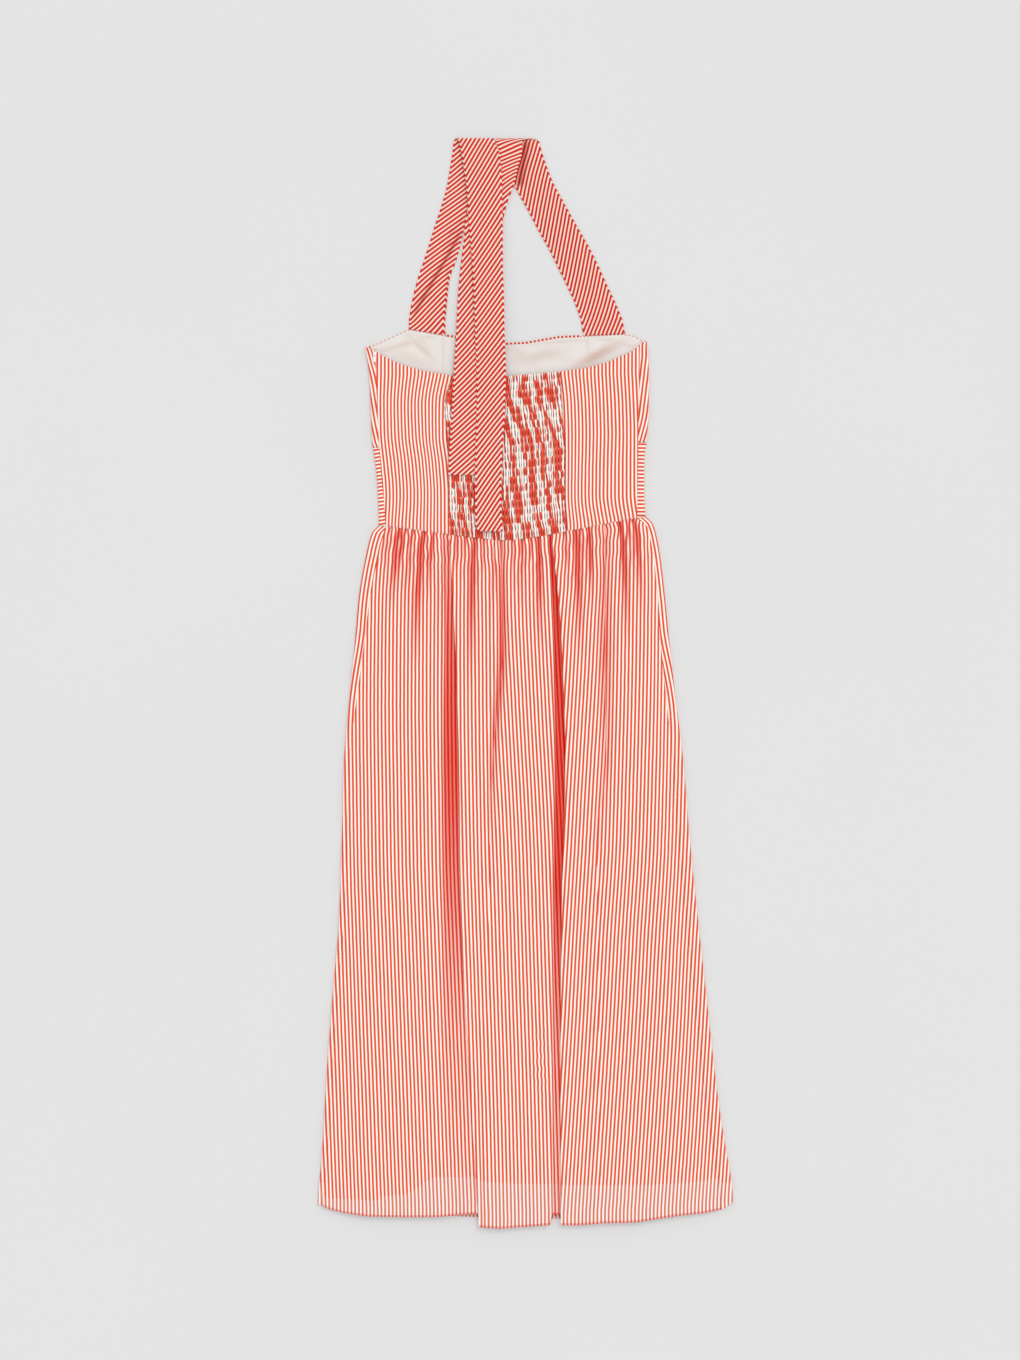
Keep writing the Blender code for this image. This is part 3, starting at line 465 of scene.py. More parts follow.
def skirtRows(top, bottom):          # close together at the waist and at the hem
    rows = [top]
    while rows[-1] > bottom + 16:
        below = top - rows[-1]
        rows.append(rows[-1] - (2.4 if below < 36 else 4.0 if below < 130 else 8.6))
    rows = [r for r in rows if r > bottom + 9]
    return rows + [bottom + d for d in (8, 5, 3.6, 3.0, 2.4, 1.2, 0)]


def bendToEdges(x, up, hem):         # a level row takes the slant of the waist and of the hem
    settings = backSkirt
    nearWaist = max(0.0, 1 - (settings["top"] - up) / settings["edgeReach"])
    nearHem = max(0.0, 1 - (up - settings["bottom"]) / settings["edgeReach"])
    return (up + nearWaist * (waistLine(x) - halfGap - settings["top"])
            + nearHem * (hem - settings["bottom"]))


def splineThrough(points, each):     # a soft curve through a fold's key points
    points = np.asarray(points, float)
    ends = np.vstack([2 * points[0] - points[1], points, 2 * points[-1] - points[-2]])
    out = []
    for i in range(len(points) - 1):
        p0, p1, p2, p3 = ends[i:i + 4]
        for t in np.arange(each) / each:
            out.append(0.5 * (2 * p1 + (p2 - p0) * t + (2 * p0 - 5 * p1 + 4 * p2 - p3) * t * t
                              + (3 * p1 - p0 - 3 * p2 + p3) * t ** 3))
    out.append(points[-1])
    return np.array(out)


def foldCurve(start, floor, edge, end, crown, low, lap):
    # From the soft side down to the floor, under the raised edge, back and over it; without a lap a soft dip
    depth = crown - low
    if lap == 0:
        down = [(start + (floor - start) * s, crown - depth * soft(s)) for s in np.arange(7) / 7]
        rise = [(floor + (end - floor) * s, low + depth * soft(s)) for s in np.arange(7) / 6]
        return down + rise
    reach = lap * float(soft((depth - 2.5) / 3.0))
    nose = 0.7 * float(soft((depth - 2.0) / 3.0))
    return [
        (start, crown), (start + 0.35 * (floor - start), crown - 0.2 * depth),
        (start + 0.75 * (floor - start), low + 0.14 * depth), (floor, low),
        ((floor + edge) / 2, low), (edge + 0.3 * reach, low + 0.02 * depth),
        (edge + 0.8 * reach, low + 0.08 * depth), (edge + reach + nose, low + 0.24 * depth),
        (edge + 0.8 * reach, low + 0.4 * depth), (edge + 0.3 * reach, low + 0.48 * depth),
        (edge - 0.2 * nose, low + 0.6 * depth), (edge - nose, low + 0.77 * depth),
        (edge + 0.2 * (end - edge), low + 0.93 * depth), (end, crown),
    ]


def panelForm(panel, px, share, up, crown, side, width):
    # The heights of one panel's row with its gathers and creases, and the shade painted into its gathers
    settings = backSkirt
    form, shade, puckers = settings["gatherForm"], settings["gatherShade"], settings["puckers"]
    last = len(settings["folds"])
    below = settings["top"] - up
    pz = crown - settings["sag"] * np.sin(pi * share)
    if panel == 0:
        pz = side + (pz - side) * soft(share / settings["sideSlope"])
    if panel == last:
        pz = side + (pz - side) * soft((1 - share) / settings["sideSlope"])
    smooth = pz.copy()
    flare = width / form["waistWidth"]
    inner = np.minimum(1.0, (share if panel == last else np.minimum(share, 1 - share)) * 6)
    for across, wide, depth, run in settings["gathers"]:
        place = across * (1 + 0.5 * (flare - 1))
        fade = max(0.0, 1 - below / (form["reach"] * run)) ** form["fade"]
        if fade > 0:
            spread = form["width"] * wide * (1 + form["widen"] * below / run)
            dip = np.exp(-((px - place) / spread) ** 2) * (0.4 + 0.6 * inner)
            pz = pz - form["depth"] * depth * fade * dip
    level = np.full_like(px, up)
    pz = pz + 0.8 * float(soft(1 - below / 110)) * ripples(px, level, (17, 11), 3) * inner
    # Painted shade in the gathers, by how far they dip below the smooth row
    dark = shade["most"] * np.clip((smooth - pz - shade["clear"]) / shade["depth"], 0, 1)
    for x1, up1, x2, up2, wide, height in settings["creases"]:
        along = (up1 - up) / (up1 - up2)
        if -0.25 < along < 1.25:
            middle = x1 + (x2 - x1) * along
            crease = float(bump((along - 0.5) / 0.75)) * np.exp(-((px - middle) / wide) ** 2)
            pz = pz + height * crease
    pz = pz + 0.25 * ripples(px, level, (63, 38), 8) * inner * float(soft(below / 120))
    pz = np.maximum(pz, settings["floor"])
    swell = float(bump((up - puckers["up"]) / puckers["reach"]))
    wave = puckers["height"] * sin(2 * pi * up / puckers["pitch"]) * swell
    return pz + wave * bump((px - puckers["across"]) / puckers["halfWidth"]), dark


def panelPattern(panel, px, pz, up):     # where the stripes lie on one panel's row
    drift, puckers = backSkirt["drift"][panel], backSkirt["stripePuckers"]
    extra = polyline(np.stack([px, pz], 1)) - (px - px[0])
    pu = px - float(curveAt(drift["up"], drift["by"], up)) + extra - extra[-1] / 2
    wave = sin(2 * pi * up / puckers["pitch"] + 1) * float(bump((up - puckers["up"]) / puckers["reach"]))
    return pu + puckers["shift"] * wave * bump((px - puckers["across"]) / puckers["halfWidth"])


def foldForm(panel, up, start, startHeight, crown):
    # The points of a fold's row, where the next panel's cloth begins in it, its hem and the shade painted
    # into it
    settings = backSkirt
    fold, shade = settings["folds"][panel], settings["foldShade"]
    depth, floor, edge = (float(curveAt(fold["up"], fold[key], up)) for key in ("depth", "floor", "edge"))
    low = max(crown - depth, settings["floor"] + 0.2)
    keys = foldCurve(start, floor, edge, edge + fold["shoulder"], crown, low, fold["lap"])
    keys[0] = (start, startHeight)
    points = splineThrough(keys, fold["steps"])
    split = 7 * fold["steps"]
    inner = points[1:-1]
    ownHem, nextHem = (lineAt(hem["across"], hem["up"], inner[:, 0])
                       for hem in settings["hems"][panel:panel + 2])
    pleat = settings["pleatHem"]
    if panel == pleat["panel"]:
        ownHem = ownHem + (pleat["up"] - ownHem) * soft(np.arange(len(inner)) / (2 * fold["steps"]))
    hem = np.where(np.arange(1, len(points) - 1) > split, nextHem, ownHem)
    tone = float(lineAt(fold["up"], fold["tone"], up))
    deep = np.clip((crown - inner[:, 1] - shade["clear"]) / shade["depth"], 0, 1) ** shade["ramp"]
    return points, split, hem, np.clip(tone * deep, 0, 1)


def backSkirtRow(up):
    settings = backSkirt
    folds = settings["folds"]
    leftSeam, rightSeam = (float(seam) for seam in sideSeamsOfSkirt(up))
    crown = float(curveAt(skirtSides["up"], skirtSides["crown"], up))
    side = float(lineAt(skirtSides["up"], skirtSides["sideHeight"], up))
    x, z, hem, u, paintedShade = [], [], [], [], []
    start = leftSeam + halfGap
    for panel, columns in enumerate(settings["columns"]):
        folded = panel < len(folds)
        end = rightSeam - halfGap
        if folded:
            end = float(curveAt(folds[panel]["up"], folds[panel]["soft"], up))
        share = np.linspace(0, 1, columns)
        px = start + (end - start) * share
        pz, dark = panelForm(panel, px, share, up, crown, side, rightSeam - leftSeam)
        pu = panelPattern(panel, px, pz, up)
        if panel > 0:        # the stripes run on from both sides and meet in the fold
            fromLeft = lastPattern + polyline(points)
            fromRight = pu[0] - polyline(points[::-1])[::-1]
            u.extend(np.where(np.arange(len(points)) <= split, fromLeft, fromRight)[1:-1])
        x.extend(px)
        z.extend(pz)
        u.extend(pu)
        hem.extend(lineAt(settings["hems"][panel]["across"], settings["hems"][panel]["up"], px))
        paintedShade.extend(dark)
        if folded:
            points, split, foldHem, dark = foldForm(panel, up, end, float(pz[-1]), crown)
            x.extend(points[1:-1, 0])
            z.extend(points[1:-1, 1])
            hem.extend(foldHem)
            paintedShade.extend(dark)
            lastPattern = pu[-1]
            start = float(points[-1, 0])
    x, z, u, hem, paintedShade = (np.array(v) for v in (x, z, u, hem, paintedShade))
    return np.stack([x, bendToEdges(x, up, hem), z], 1), u, paintedShade


def makeBackSkirt():
    grid, face, deep = [], [], []
    rows = skirtRows(backSkirt["top"], backSkirt["bottom"])
    for up in rows:
        points, u, paintedShade = backSkirtRow(up)
        if up == rows[0]:    # the edge is sewn in behind the bodice
            behind = points + [0, 2.5, 0]
            behind[:, 2] = np.minimum(points[:, 2] - 1.4, bodiceHeight(points[:, 0]) - 1.15)
            grid.append(behind)
            face.append(np.stack([u, behind[:, 1]], 1))
            # Painted shade on the edge that goes in under the bodice
            deep.append(np.full_like(paintedShade, 0.6))
        grid.append(points)
        face.append(np.stack([u, points[:, 1]], 1))
        deep.append(paintedShade)
    grid = np.array(grid)
    # The first rows are pressed into the seam, the last ones rolled into a narrow hem
    grid[1, :, 2] = np.minimum(grid[1, :, 2] - 0.8, bodiceHeight(grid[1, :, 0]) + 0.2)
    grid[2, :, 2] = 0.5 * (grid[1, :, 2] + grid[3, :, 2])
    near = np.array([rows[0] - backSkirt["bottom"]] + [up - backSkirt["bottom"] for up in rows])
    grid[:, :, 2] += (0.35 * bump((near - 1.4) / 2.0) - 0.25 * bump((near - 3.3) / 0.9))[:, None]
    # The painted fold colour is given at half strength along the rolled hem too
    deep = np.array(deep) + 0.5 * (near < 2.8)[:, None]
    wall = np.full(grid.shape[:2], layers["clothWall"])
    wall += 0.6 * (near < 2.6)[:, None]
    liningEdge = lineAt(backSkirt["liningHem"]["across"], backSkirt["liningHem"]["up"], grid[:, :, 0])
    aboveLining = np.clip(grid[:, :, 1] - liningEdge, -50, 50)
    return makeShell("skirtBackCloth", grid, wall, face, marks={"paintedShade": deep, "aboveLining": aboveLining})


# Front skirt: lies on the floor and turns up round both sides to the side seams

frontSkirt = {
    "hem": dict(across=[-281, -263, -242, -200, 0, 200, 241, 267, 281],
                up=[34, 26, 22.5, 22, 11, 20, 21.5, 27, 37]),
    "stripesFollow": (640, 170),     # from this height stripes follow the side folds, over this reach
    "low": 0.6,              # the cloth's middle lies this far above the floor and inside the side folds
    "liningHem": 62.0,
    "lift": 0.45,            # the soft waves near the waist
    "flats": 90,
    "roundSteps": 9,
}


def sideFold(fold, height, side, steps):     # from the floor up round a side fold: across and height
    low = frontSkirt["low"]
    angle = np.linspace(-pi / 2, pi / 2, steps + 1)
    reach = low + layers["sideRound"] * (1 - np.cos(angle))
    return np.stack([fold + side * reach, (low + height) / 2 + (height - low) / 2 * np.sin(angle)], 1)


def wrappedRow(left, right, leftSeam, rightSeam, height, flats, steps):
    # Seam on the left, down round the left fold, along the floor, up round the right fold, seam
    leftTurn = sideFold(left, height, 1, steps)[::-1]
    rightTurn = sideFold(right, height, -1, steps)
    inner = np.linspace(leftTurn[-1][0], rightTurn[0][0], flats + 2)[1:-1]
    leftTop = [(leftSeam + (leftTurn[0][0] - leftSeam) * s, height) for s in np.arange(4) / 4]
    rightTop = [(rightTurn[-1][0] + (rightSeam - rightTurn[-1][0]) * s, height) for s in np.arange(1, 5) / 4]
    leftIn = [(leftSeam + 2.4, height - 1.1), (leftSeam + 0.5, height - 1.05)]   # the seams are turned in
    rightIn = [(rightSeam - 0.5, height - 1.05), (rightSeam - 2.4, height - 1.1)]
    flat = [(x, frontSkirt["low"]) for x in inner]
    return np.array(leftIn + leftTop + leftTurn.tolist() + flat + rightTurn.tolist() + rightTop + rightIn)


def makeFrontSkirt():
    settings = frontSkirt
    grid, above, lengths, ends, folds = [], [], [], [], []
    rows = skirtRows(backSkirt["top"], backSkirt["bottom"])
    for up in rows:
        left = float(curveAt(skirtSides["up"], skirtSides["left"], up))
        right = float(curveAt(skirtSides["up"], skirtSides["right"], up))
        height = float(lineAt(skirtSides["up"], skirtSides["sideHeight"], up))
        leftSeam, rightSeam = (float(s) for s in sideSeamsOfSkirt(up))
        section = wrappedRow(left, right, leftSeam - halfGap, rightSeam + halfGap, height,
                             settings["flats"], settings["roundSteps"])
        x, z = section[:, 0], section[:, 1]
        # A few soft waves lift the front off the floor near the waist, small because the back lies on it
        waves = settings["lift"] * (1 + ripples(x, np.full_like(x, up), (23, 15), 21))
        waves = waves * float(soft(1 - (rows[0] - up) / 120))
        y = bendToEdges(x, up, lineAt(settings["hem"]["across"], settings["hem"]["up"], x))
        grid.append(np.stack([x, y, z + np.where(z < settings["low"] + 0.01, waves, 0)], 1))
        above.append(np.clip(y - settings["liningHem"], -50, 50))
        length = polyline(section)
        lengths.append(length)
        folds.append((length[np.argmin(x)], length[np.argmax(x)]))
        backPrint = backSkirtRow(up)[1]
        ends.append((backPrint[0] + length[2], backPrint[-1] + length[-3]))
    # Above the hips the side strips' stripes follow the side folds, lower down they go on from the back's
    ends, folds = np.array(ends), np.array(folds)
    aboveHips = np.array(rows) - settings["stripesFollow"][0]
    fixed = (ends - folds)[np.argmin(np.abs(aboveHips))]
    follow = soft(aboveHips / settings["stripesFollow"][1])[:, None]
    starts = ends + follow * (fixed + folds - ends)
    periods = np.round((starts[-1, 1] - starts[-1, 0]) / layers["stripe"]) * layers["stripe"]
    face = []
    for row, length in enumerate(lengths):
        fromLeft, fromRight = starts[row, 0] - length, starts[row, 1] - periods - length
        share = np.clip((length - folds[row, 0] - 30) / (folds[row, 1] - folds[row, 0] - 60), 0, 1)
        face.append(np.stack([fromLeft * (1 - share) + fromRight * share, grid[row][:, 1]], 1))
    grid = np.array(grid)
    return makeShell("skirtFrontCloth", grid, layers["clothWall"], face,
                     marks={"paintedShade": np.zeros(grid.shape[:2]), "aboveLining": np.array(above)})


liningTube = {
    "rows": np.concatenate([np.linspace(932, 800, 16), np.linspace(790, 90, 45), [80, 71, 66, 64, 62]]),
    "columns": 44,
    "wave": 0.25,
}


def makeSkirtLining():
    settings = liningTube
    grid, face = [], []
    for up in settings["rows"]:
        left = float(curveAt(skirtSides["up"], skirtSides["left"], up)) + layers["liningIn"]
        right = float(curveAt(skirtSides["up"], skirtSides["right"], up)) - layers["liningIn"]
        low, high = layers["liningLow"], layers["skirtLiningHigh"]
        middle, rise = (low + high) / 2, (high - low) / 2
        x = np.linspace(left + 2, right - 2, settings["columns"])
        lift = settings["wave"] * ripples(x, np.full_like(x, up), (70, 45), 31)
        turn = np.linspace(pi / 2 - 0.3, -pi / 2 + 0.3, 5)
        section = np.concatenate([
            np.stack([x, high + lift], 1),
            np.stack([right - rise + rise * np.cos(turn), middle + rise * np.sin(turn)], 1),
            np.stack([x[::-1], np.full_like(x, low)], 1),
            np.stack([left + rise - rise * np.cos(turn[::-1]), middle + rise * np.sin(turn[::-1])], 1)])
        follow = max(0.0, 1 - (settings["rows"][0] - up) / backSkirt["edgeReach"])
        y = up + follow * (waistLine(section[:, 0]) - backSkirt["top"])
        grid.append(np.stack([section[:, 0], y, section[:, 1]], 1))
        face.append(np.stack([polyline(section), y], 1))
    grid = np.array(grid)
    return makeShell("skirtLiningCloth", grid, layers["liningWall"], face, ring=True,
                     marks={"shadeAndSeamLine": np.zeros(grid.shape[:2])})


# Bodice

def bodiceHeight(across):            # the back lies highest near its middle
    crown = np.cos(pi * (np.asarray(across) + 20) / 380.0)
    return layers["bodiceSide"] + layers["bodiceRise"] * np.maximum(0.0, crown)


def plainMarks(grid):                # no painted fold shade, and lined all over
    return {"paintedShade": np.zeros(grid.shape[:2]), "aboveLining": np.full(grid.shape[:2], 50.0)}


def bodiceSeams(up):
    return lineAt(sideSeams["up"], sideSeams["left"], up), lineAt(sideSeams["up"], sideSeams["right"], up)


frontBodice = {"flats": 80, "roundSteps": 9, "upperRows": 34, "bandRows": 26}


def makeWrappedBodice(name, lowOf, highOf, rows, patternOf):
    settings = frontBodice
    grid, face = [], []
    for step in range(rows + 1):
        share = step / rows
        leftUp, rightUp = (float(highOf(s, True) + (lowOf(s, True) - highOf(s, True)) * share)
                           for s in (-200.0, 153.0))
        left = float(curveAt(bodiceSides["up"], bodiceSides["left"], leftUp))
        right = float(curveAt(bodiceSides["up"], bodiceSides["right"], rightUp))
        section = wrappedRow(left, right, float(bodiceSeams(leftUp)[0]) - halfGap,
                             float(bodiceSeams(rightUp)[1]) + halfGap, layers["bodiceSide"],
                             settings["flats"], settings["roundSteps"])
        x, z = section[:, 0], section[:, 1]
        onTop = z > 3.3
        high = np.where(onTop, highOf(x, True), highOf(x, False))
        low = np.where(onTop, lowOf(x, True), lowOf(x, False))
        y = high + (low - high) * share
        length = polyline(section)
        u = length - length[len(length) // 2]
        grid.append(np.stack([x, y, z], 1))
        face.append(patternOf(x, y, u))
    grid = np.array(grid)
    return makeShell(name, grid, layers["clothWall"], face, marks=plainMarks(grid))


def frontTop(across, onTop):
    table = backNeck if onTop else frontNeck
    return lineAt(table["across"], table["up"], across)


def bandTopAt(across):
    return lineAt(bandTop["across"], bandTop["up"], across)


def makeBodiceFront():
    def pattern(x, y, u):                # vertical stripes that close up towards the band
        return np.stack([u + 0.10 * (y - 1056) * np.sign(x + 25), y], 1)
    return makeWrappedBodice("bodiceFrontCloth", lambda x, onTop: bandTopAt(x) + halfGap, frontTop,
                             frontBodice["upperRows"], pattern)


def makeMidriff():
    def pattern(x, y, u):                # the band is cut the other way, so its stripes lie across
        tilt = np.where(x < -185, 0.16 * (x + 185), 0.0)
        return np.stack([y - tilt, u], 1)
    return makeWrappedBodice("midriffFrontCloth", lambda x, onTop: waistLine(x) + halfGap,
                             lambda x, onTop: bandTopAt(x) - halfGap, frontBodice["bandRows"], pattern)


bodiceLining = {
    "seams": (-111.5, 84.5), "top": 1185.0, "waist": 950.0, "belowNeck": 1.0,
    "rows": 40, "columns": 34,
    "names": ("bodiceLiningLeftCloth", "bodiceLiningCentreCloth", "bodiceLiningRightCloth"),
    "overlap": 0.4,
    "rim": 0.15,             # the first and last columns stand this close to the edge, which keeps it crisp
    # Soft folds that show above the back's neckline: ends across and up, width, height, and the painted shade
    # along them
    "folds": (
        (130, 1196, 60, 1158, 7, 1.5, 0.9), (118, 1204, 66, 1172, 6, -0.6, 0.0),
        (-190, 1188, -120, 1164, 9, 1.1, 0.25), (-150, 1203, -112, 1176, 7, -0.6, 0.1),
        (-96, 1196, -20, 1160, 10, 1.2, 0.2), (20, 1196, 70, 1166, 9, 0.9, 0.15),
        (-60, 1188, 10, 1170, 8, -0.5, 0.0), (90, 1196, 96, 1160, 5, 0.5, 0.1),
        (-205, 1180, -125, 1204, 4, -0.6, 0.45), (-160, 1206, -120, 1168, 5, -0.5, 0.5),
        (-143, 1208, -128, 1176, 3, 0.5, 0.3), (-25, 1166, 60, 1186, 8, -0.7, 0.4),
        (0, 1192, 78, 1199, 3, -0.3, 0.3), (95, 1202, 150, 1188, 4, -0.4, 0.35),
        (-20, 1190, 20, 1160, 7, 0.4, 0.3),
    ),
}


def makeBodiceLining():
    settings = bodiceLining
    made = []
    for index, name in enumerate(settings["names"]):
        grid, face, shadeAndSeamLine = [], [], []
        for share in np.linspace(0, 1, settings["rows"]) ** 1.6:
            up = settings["top"] + (settings["waist"] - settings["top"]) * share
            left = float(curveAt(bodiceSides["up"], bodiceSides["left"], up)) + layers["liningIn"]
            right = float(curveAt(bodiceSides["up"], bodiceSides["right"], up)) - layers["liningIn"]
            edges = (left, *settings["seams"], right)
            first = edges[index] - (index > 0) * settings["overlap"]
            x = np.linspace(first, edges[index + 1], settings["columns"])
            x = np.insert(x, [1, len(x) - 1], [x[0] + settings["rim"], x[-1] - settings["rim"]])
            high = lineAt(frontNeck["across"], frontNeck["up"], x) - settings["belowNeck"]
            y = high + (waistLine(x) + 0.6 - high) * share
            z = np.full_like(x, layers["liningLow"])
            tint = np.zeros_like(x)
            for x1, up1, x2, up2, width, height, shadeTint in settings["folds"]:
                run = np.array([x2 - x1, up2 - up1], float)
                size = np.hypot(*run)
                along = ((x - x1) * run[0] + (y - up1) * run[1]) / size / size
                aside = ((y - up1) * run[0] - (x - x1) * run[1]) / size
                ridge = bump((along - 0.5) / 0.8) * np.exp(-(aside / width) ** 2)
                z = z + height * ridge
                # Painted shade along each fold
                tint = np.maximum(tint, shadeTint * ridge)
            bySeam = (index > 0) * np.exp(-((x - x[0]) / 2.2) ** 2)
            bySeam = bySeam + (index < 2) * np.exp(-((x - x[-1]) / 2.2) ** 2)
            tint = np.maximum(tint, 0.22 * bySeam)
            z = np.maximum(z + 0.1 * (index == 1) * bySeam, 1.6)
            z = np.where(y > high - 2.5, np.minimum(z, 2.0), z)
            grid.append(np.stack([x, y, z], 1))
            face.append(np.stack([x, y], 1))
            shadeAndSeamLine.append(tint)
        made.append(makeShell(name, np.array(grid), layers["liningWall"], face,
                              marks={"shadeAndSeamLine": np.array(shadeAndSeamLine)}))
    return made


backBodice = {
    "columns": 40, "rows": 64,
    "ripple": 0.55,
    "drawnIn": dict(height=0.35, width=0.12, pitch=11.2),    # beside the shirring
    "turnedIn": dict(depth=0.5, width=0.03, low=0.012),      # at the seams
    "zipPuckers": dict(height=0.3, width=0.09, pitch=17),
    # How far a stripe has moved to the right on its way down, by height and place across
    "up": [1152, 1111, 1071, 1030, 990, 949],
    "leftAt": [-196, -169, -142, -115],
    "leftDrift": [[0, 0, 0, 0], [-0.7, -3.0, -5.4, -7.4], [0, -1.8, -4.0, -7.6],
                  [4.3, 3.0, 1.2, -2.6], [7.8, 5.6, 3.8, 0.0], [6.5, 3.2, 2.6, 0.0]],
    "rightAt": [47, 74, 101, 128, 151],
    "rightDrift": [[0, 0, 0, 0, 0], [4.6, 3.2, 2.2, 2.4, 2.0], [6.0, 4.2, 3.2, 3.4, 3.0],
                   [6.6, 3.4, 2.2, 2.6, 3.0], [6.4, 2.8, 1.8, 2.4, 3.4], [9.0, 7.0, 7.4, 8.0, 8.4]],
}


def driftAt(side, x, y):             # between the rows and columns of the drift tables
    order = np.argsort(backBodice["up"])
    heights = np.array(backBodice["up"], float)[order]
    table = np.array(backBodice[side + "Drift"], float)[order]
    place = np.array(backBodice[side + "At"], float)
    columns = [curveAt(heights, table[:, i], y) for i in range(len(place))]
    share = np.interp(x, place, np.arange(len(place)))
    low = np.clip(share.astype(int), 0, len(place) - 2)
    part = share - low
    columns = np.array(columns)
    pick = np.arange(len(x))
    return columns[low, pick] * (1 - part) + columns[low + 1, pick] * part


def smockEdge(side, up):
    return curveAt(smockSides[side + "Up"], smockSides[side], up)


def backPlace(leftOf, rightOf, part, share):         # a row of the back between two upright seams
    up = np.full_like(part, 1150.0 - 210.0 * share)
    for attempt in range(3):             # the seams lean, so place and height are found together
        x = leftOf(up) + (rightOf(up) - leftOf(up)) * part
        high = lineAt(backNeck["across"], backNeck["up"], x)
        low = waistLine(x) + halfGap
        up = high + (low - high) * share
    return x, up


def makeBackPanel(name, side, leftOf, rightOf):
    settings = backBodice
    drawnIn, turnedIn, puckers = settings["drawnIn"], settings["turnedIn"], settings["zipPuckers"]
    part = np.linspace(0, 1, settings["columns"])
    grid, face = [], []
    for row in range(settings["rows"] + 1):
        share = row / settings["rows"]
        x, y = backPlace(leftOf, rightOf, part, share)
        z = bodiceHeight(x)
        inner = np.minimum(1, 8 * np.minimum(part, 1 - part)) * min(1, 10 * share, 10 * (1 - share))
        z = z + settings["ripple"] * inner * ripples(x, y, (46, 31), 5 if side == "left" else 6)
        near = np.exp(-((part - (1 if side == "left" else 0)) / drawnIn["width"]) ** 2)
        z = z + drawnIn["height"] * near * np.sin(2 * pi * y / drawnIn["pitch"])
        edges = np.exp(-(part / turnedIn["width"]) ** 2) + np.exp(-((1 - part) / turnedIn["width"]) ** 2)
        z = z - turnedIn["depth"] * edges
        z = z - turnedIn["depth"] * float(np.exp(-((1 - share) / turnedIn["low"]) ** 2))
        if side == "left":
            pucker = np.sin(2 * pi * y / puckers["pitch"] + 0.8 * np.sin(y / 13))
            z = z + puckers["height"] * np.exp(-(part / puckers["width"]) ** 2) * pucker
        grid.append(np.stack([x, y, z], 1))
        face.append(np.stack([x - driftAt(side, x, y), y], 1))
    grid = np.array(grid)
    return makeShell(name, grid, layers["clothWall"], face, marks=plainMarks(grid))


smocking = {
    "tubes": 46, "perTube": 8, "rows": 21, "perRow": 5,
    "plain": 0.1,            # how far the shirring lines lie above the back
    "puff": 1.6,
    "clothPerTube": 5.9,     # cloth drawn into one tube
    "bandSlant": 0.085,      # the printed stripes run a little across the tubes
    "phase": 0.8,            # how far the stripes of one tube, and of one puff, stand off
    "skip": 1.2,
    # The slots between tubes: how much shade is painted in them and how far it reaches, their depth and width
    "slot": dict(most=1.6, reach=0.2, depth=0.25, width=0.02),
    "wobble": 0.35,          # how far the tubes wander, in parts of a tube
    "pinch": dict(least=0.42, power=0.7),    # how flat the puffs are at a shirring line
    "shown": 0.42,           # the part of a tube's cloth that shows, the rest is hidden in the slots
}


def makeSmocking():
    settings = smocking
    chance = np.random.default_rng(12)
    tubes, perTube = settings["tubes"], settings["perTube"]
    widths = chance.uniform(0.75, 1.25, tubes)
    starts = np.concatenate([[0.0], np.cumsum(widths)])
    starts /= starts[-1]
    column = np.arange(tubes * perTube + 1) / perTube
    whole = np.minimum(column.astype(int), tubes - 1)
    inTube = column - whole
    base = starts[whole] + (starts[whole + 1] - starts[whole]) * inTube
    phase = chance.uniform(-settings["phase"], settings["phase"], tubes)
    skip = chance.uniform(-settings["skip"], settings["skip"], (settings["rows"] + 1, tubes))
    rowCount = settings["rows"] * settings["perRow"]
    least = settings["pinch"]["least"]
    wobble = chance.uniform(-settings["wobble"], settings["wobble"], (settings["rows"] + 2, tubes + 1))
    tall = chance.uniform(0.65, 1.1, (settings["rows"] + 1, tubes))
    grid, face, deep = [], [], []
    for row in range(rowCount + 1):
        share = row / rowCount
        place = row / settings["perRow"]
        cell = min(int(place), settings["rows"] - 1)
        inCell = place - cell
        sway = (1 - inCell) * wobble[cell] + inCell * wobble[cell + 1]
        shift = sway[whole] * (1 - inTube) + sway[whole + 1] * inTube
        nearSides = np.minimum(1, np.minimum(base, 1 - base) * 30)
        part = np.clip(base + shift * nearSides * 0.8 / tubes, 0, 1)
        x, y = backPlace(lambda up: smockEdge("left", up) + halfGap,
                         lambda up: smockEdge("right", up) - halfGap, part, share)
        bulge = np.sqrt(np.maximum(0.0, 1 - (2 * inTube - 1) ** 2))
        pinch = least + (1 - least) * np.abs(np.sin(pi * inCell)) ** settings["pinch"]["power"]
        height = settings["puff"] * bulge * pinch * tall[cell][whole]
        inSlot = np.minimum(inTube, 1 - inTube) < settings["slot"]["width"]
        z = bodiceHeight(x) + settings["plain"] + height - settings["slot"]["depth"] * inSlot
        visible = 0.5 + (inTube - 0.5) * settings["shown"]
        hidden = np.where(inTube < 0.001, 0.0, np.where(inTube > 0.999, 1.0, visible))
        lower = np.clip((1085 - y) / 60, 0, 1)
        slant = settings["bandSlant"] * (y - 1085) * (1 - 0.55 * lower)
        u = (whole + hidden) * settings["clothPerTube"] + phase[whole] + skip[cell][whole] + slant
        grid.append(np.stack([x, y, z], 1))
        face.append(np.stack([u, y], 1))
        between = float(bump((inCell - 0.5) / 0.62))     # the slots close where a shirring line crosses
        # Painted shade in the slots between the tubes
        shade = settings["slot"]["most"] - np.minimum(inTube, 1 - inTube) / settings["slot"]["reach"]
        deep.append(np.clip(shade, 0, 1) * between)
    grid = np.array(grid)
    marks = {"paintedShade": np.array(deep), "aboveLining": np.full(grid.shape[:2], 50.0)}
    return makeShell("backSmockedCloth", grid, 0.7, face, marks=marks)


# Straps: two ribbons of double cloth on the bias

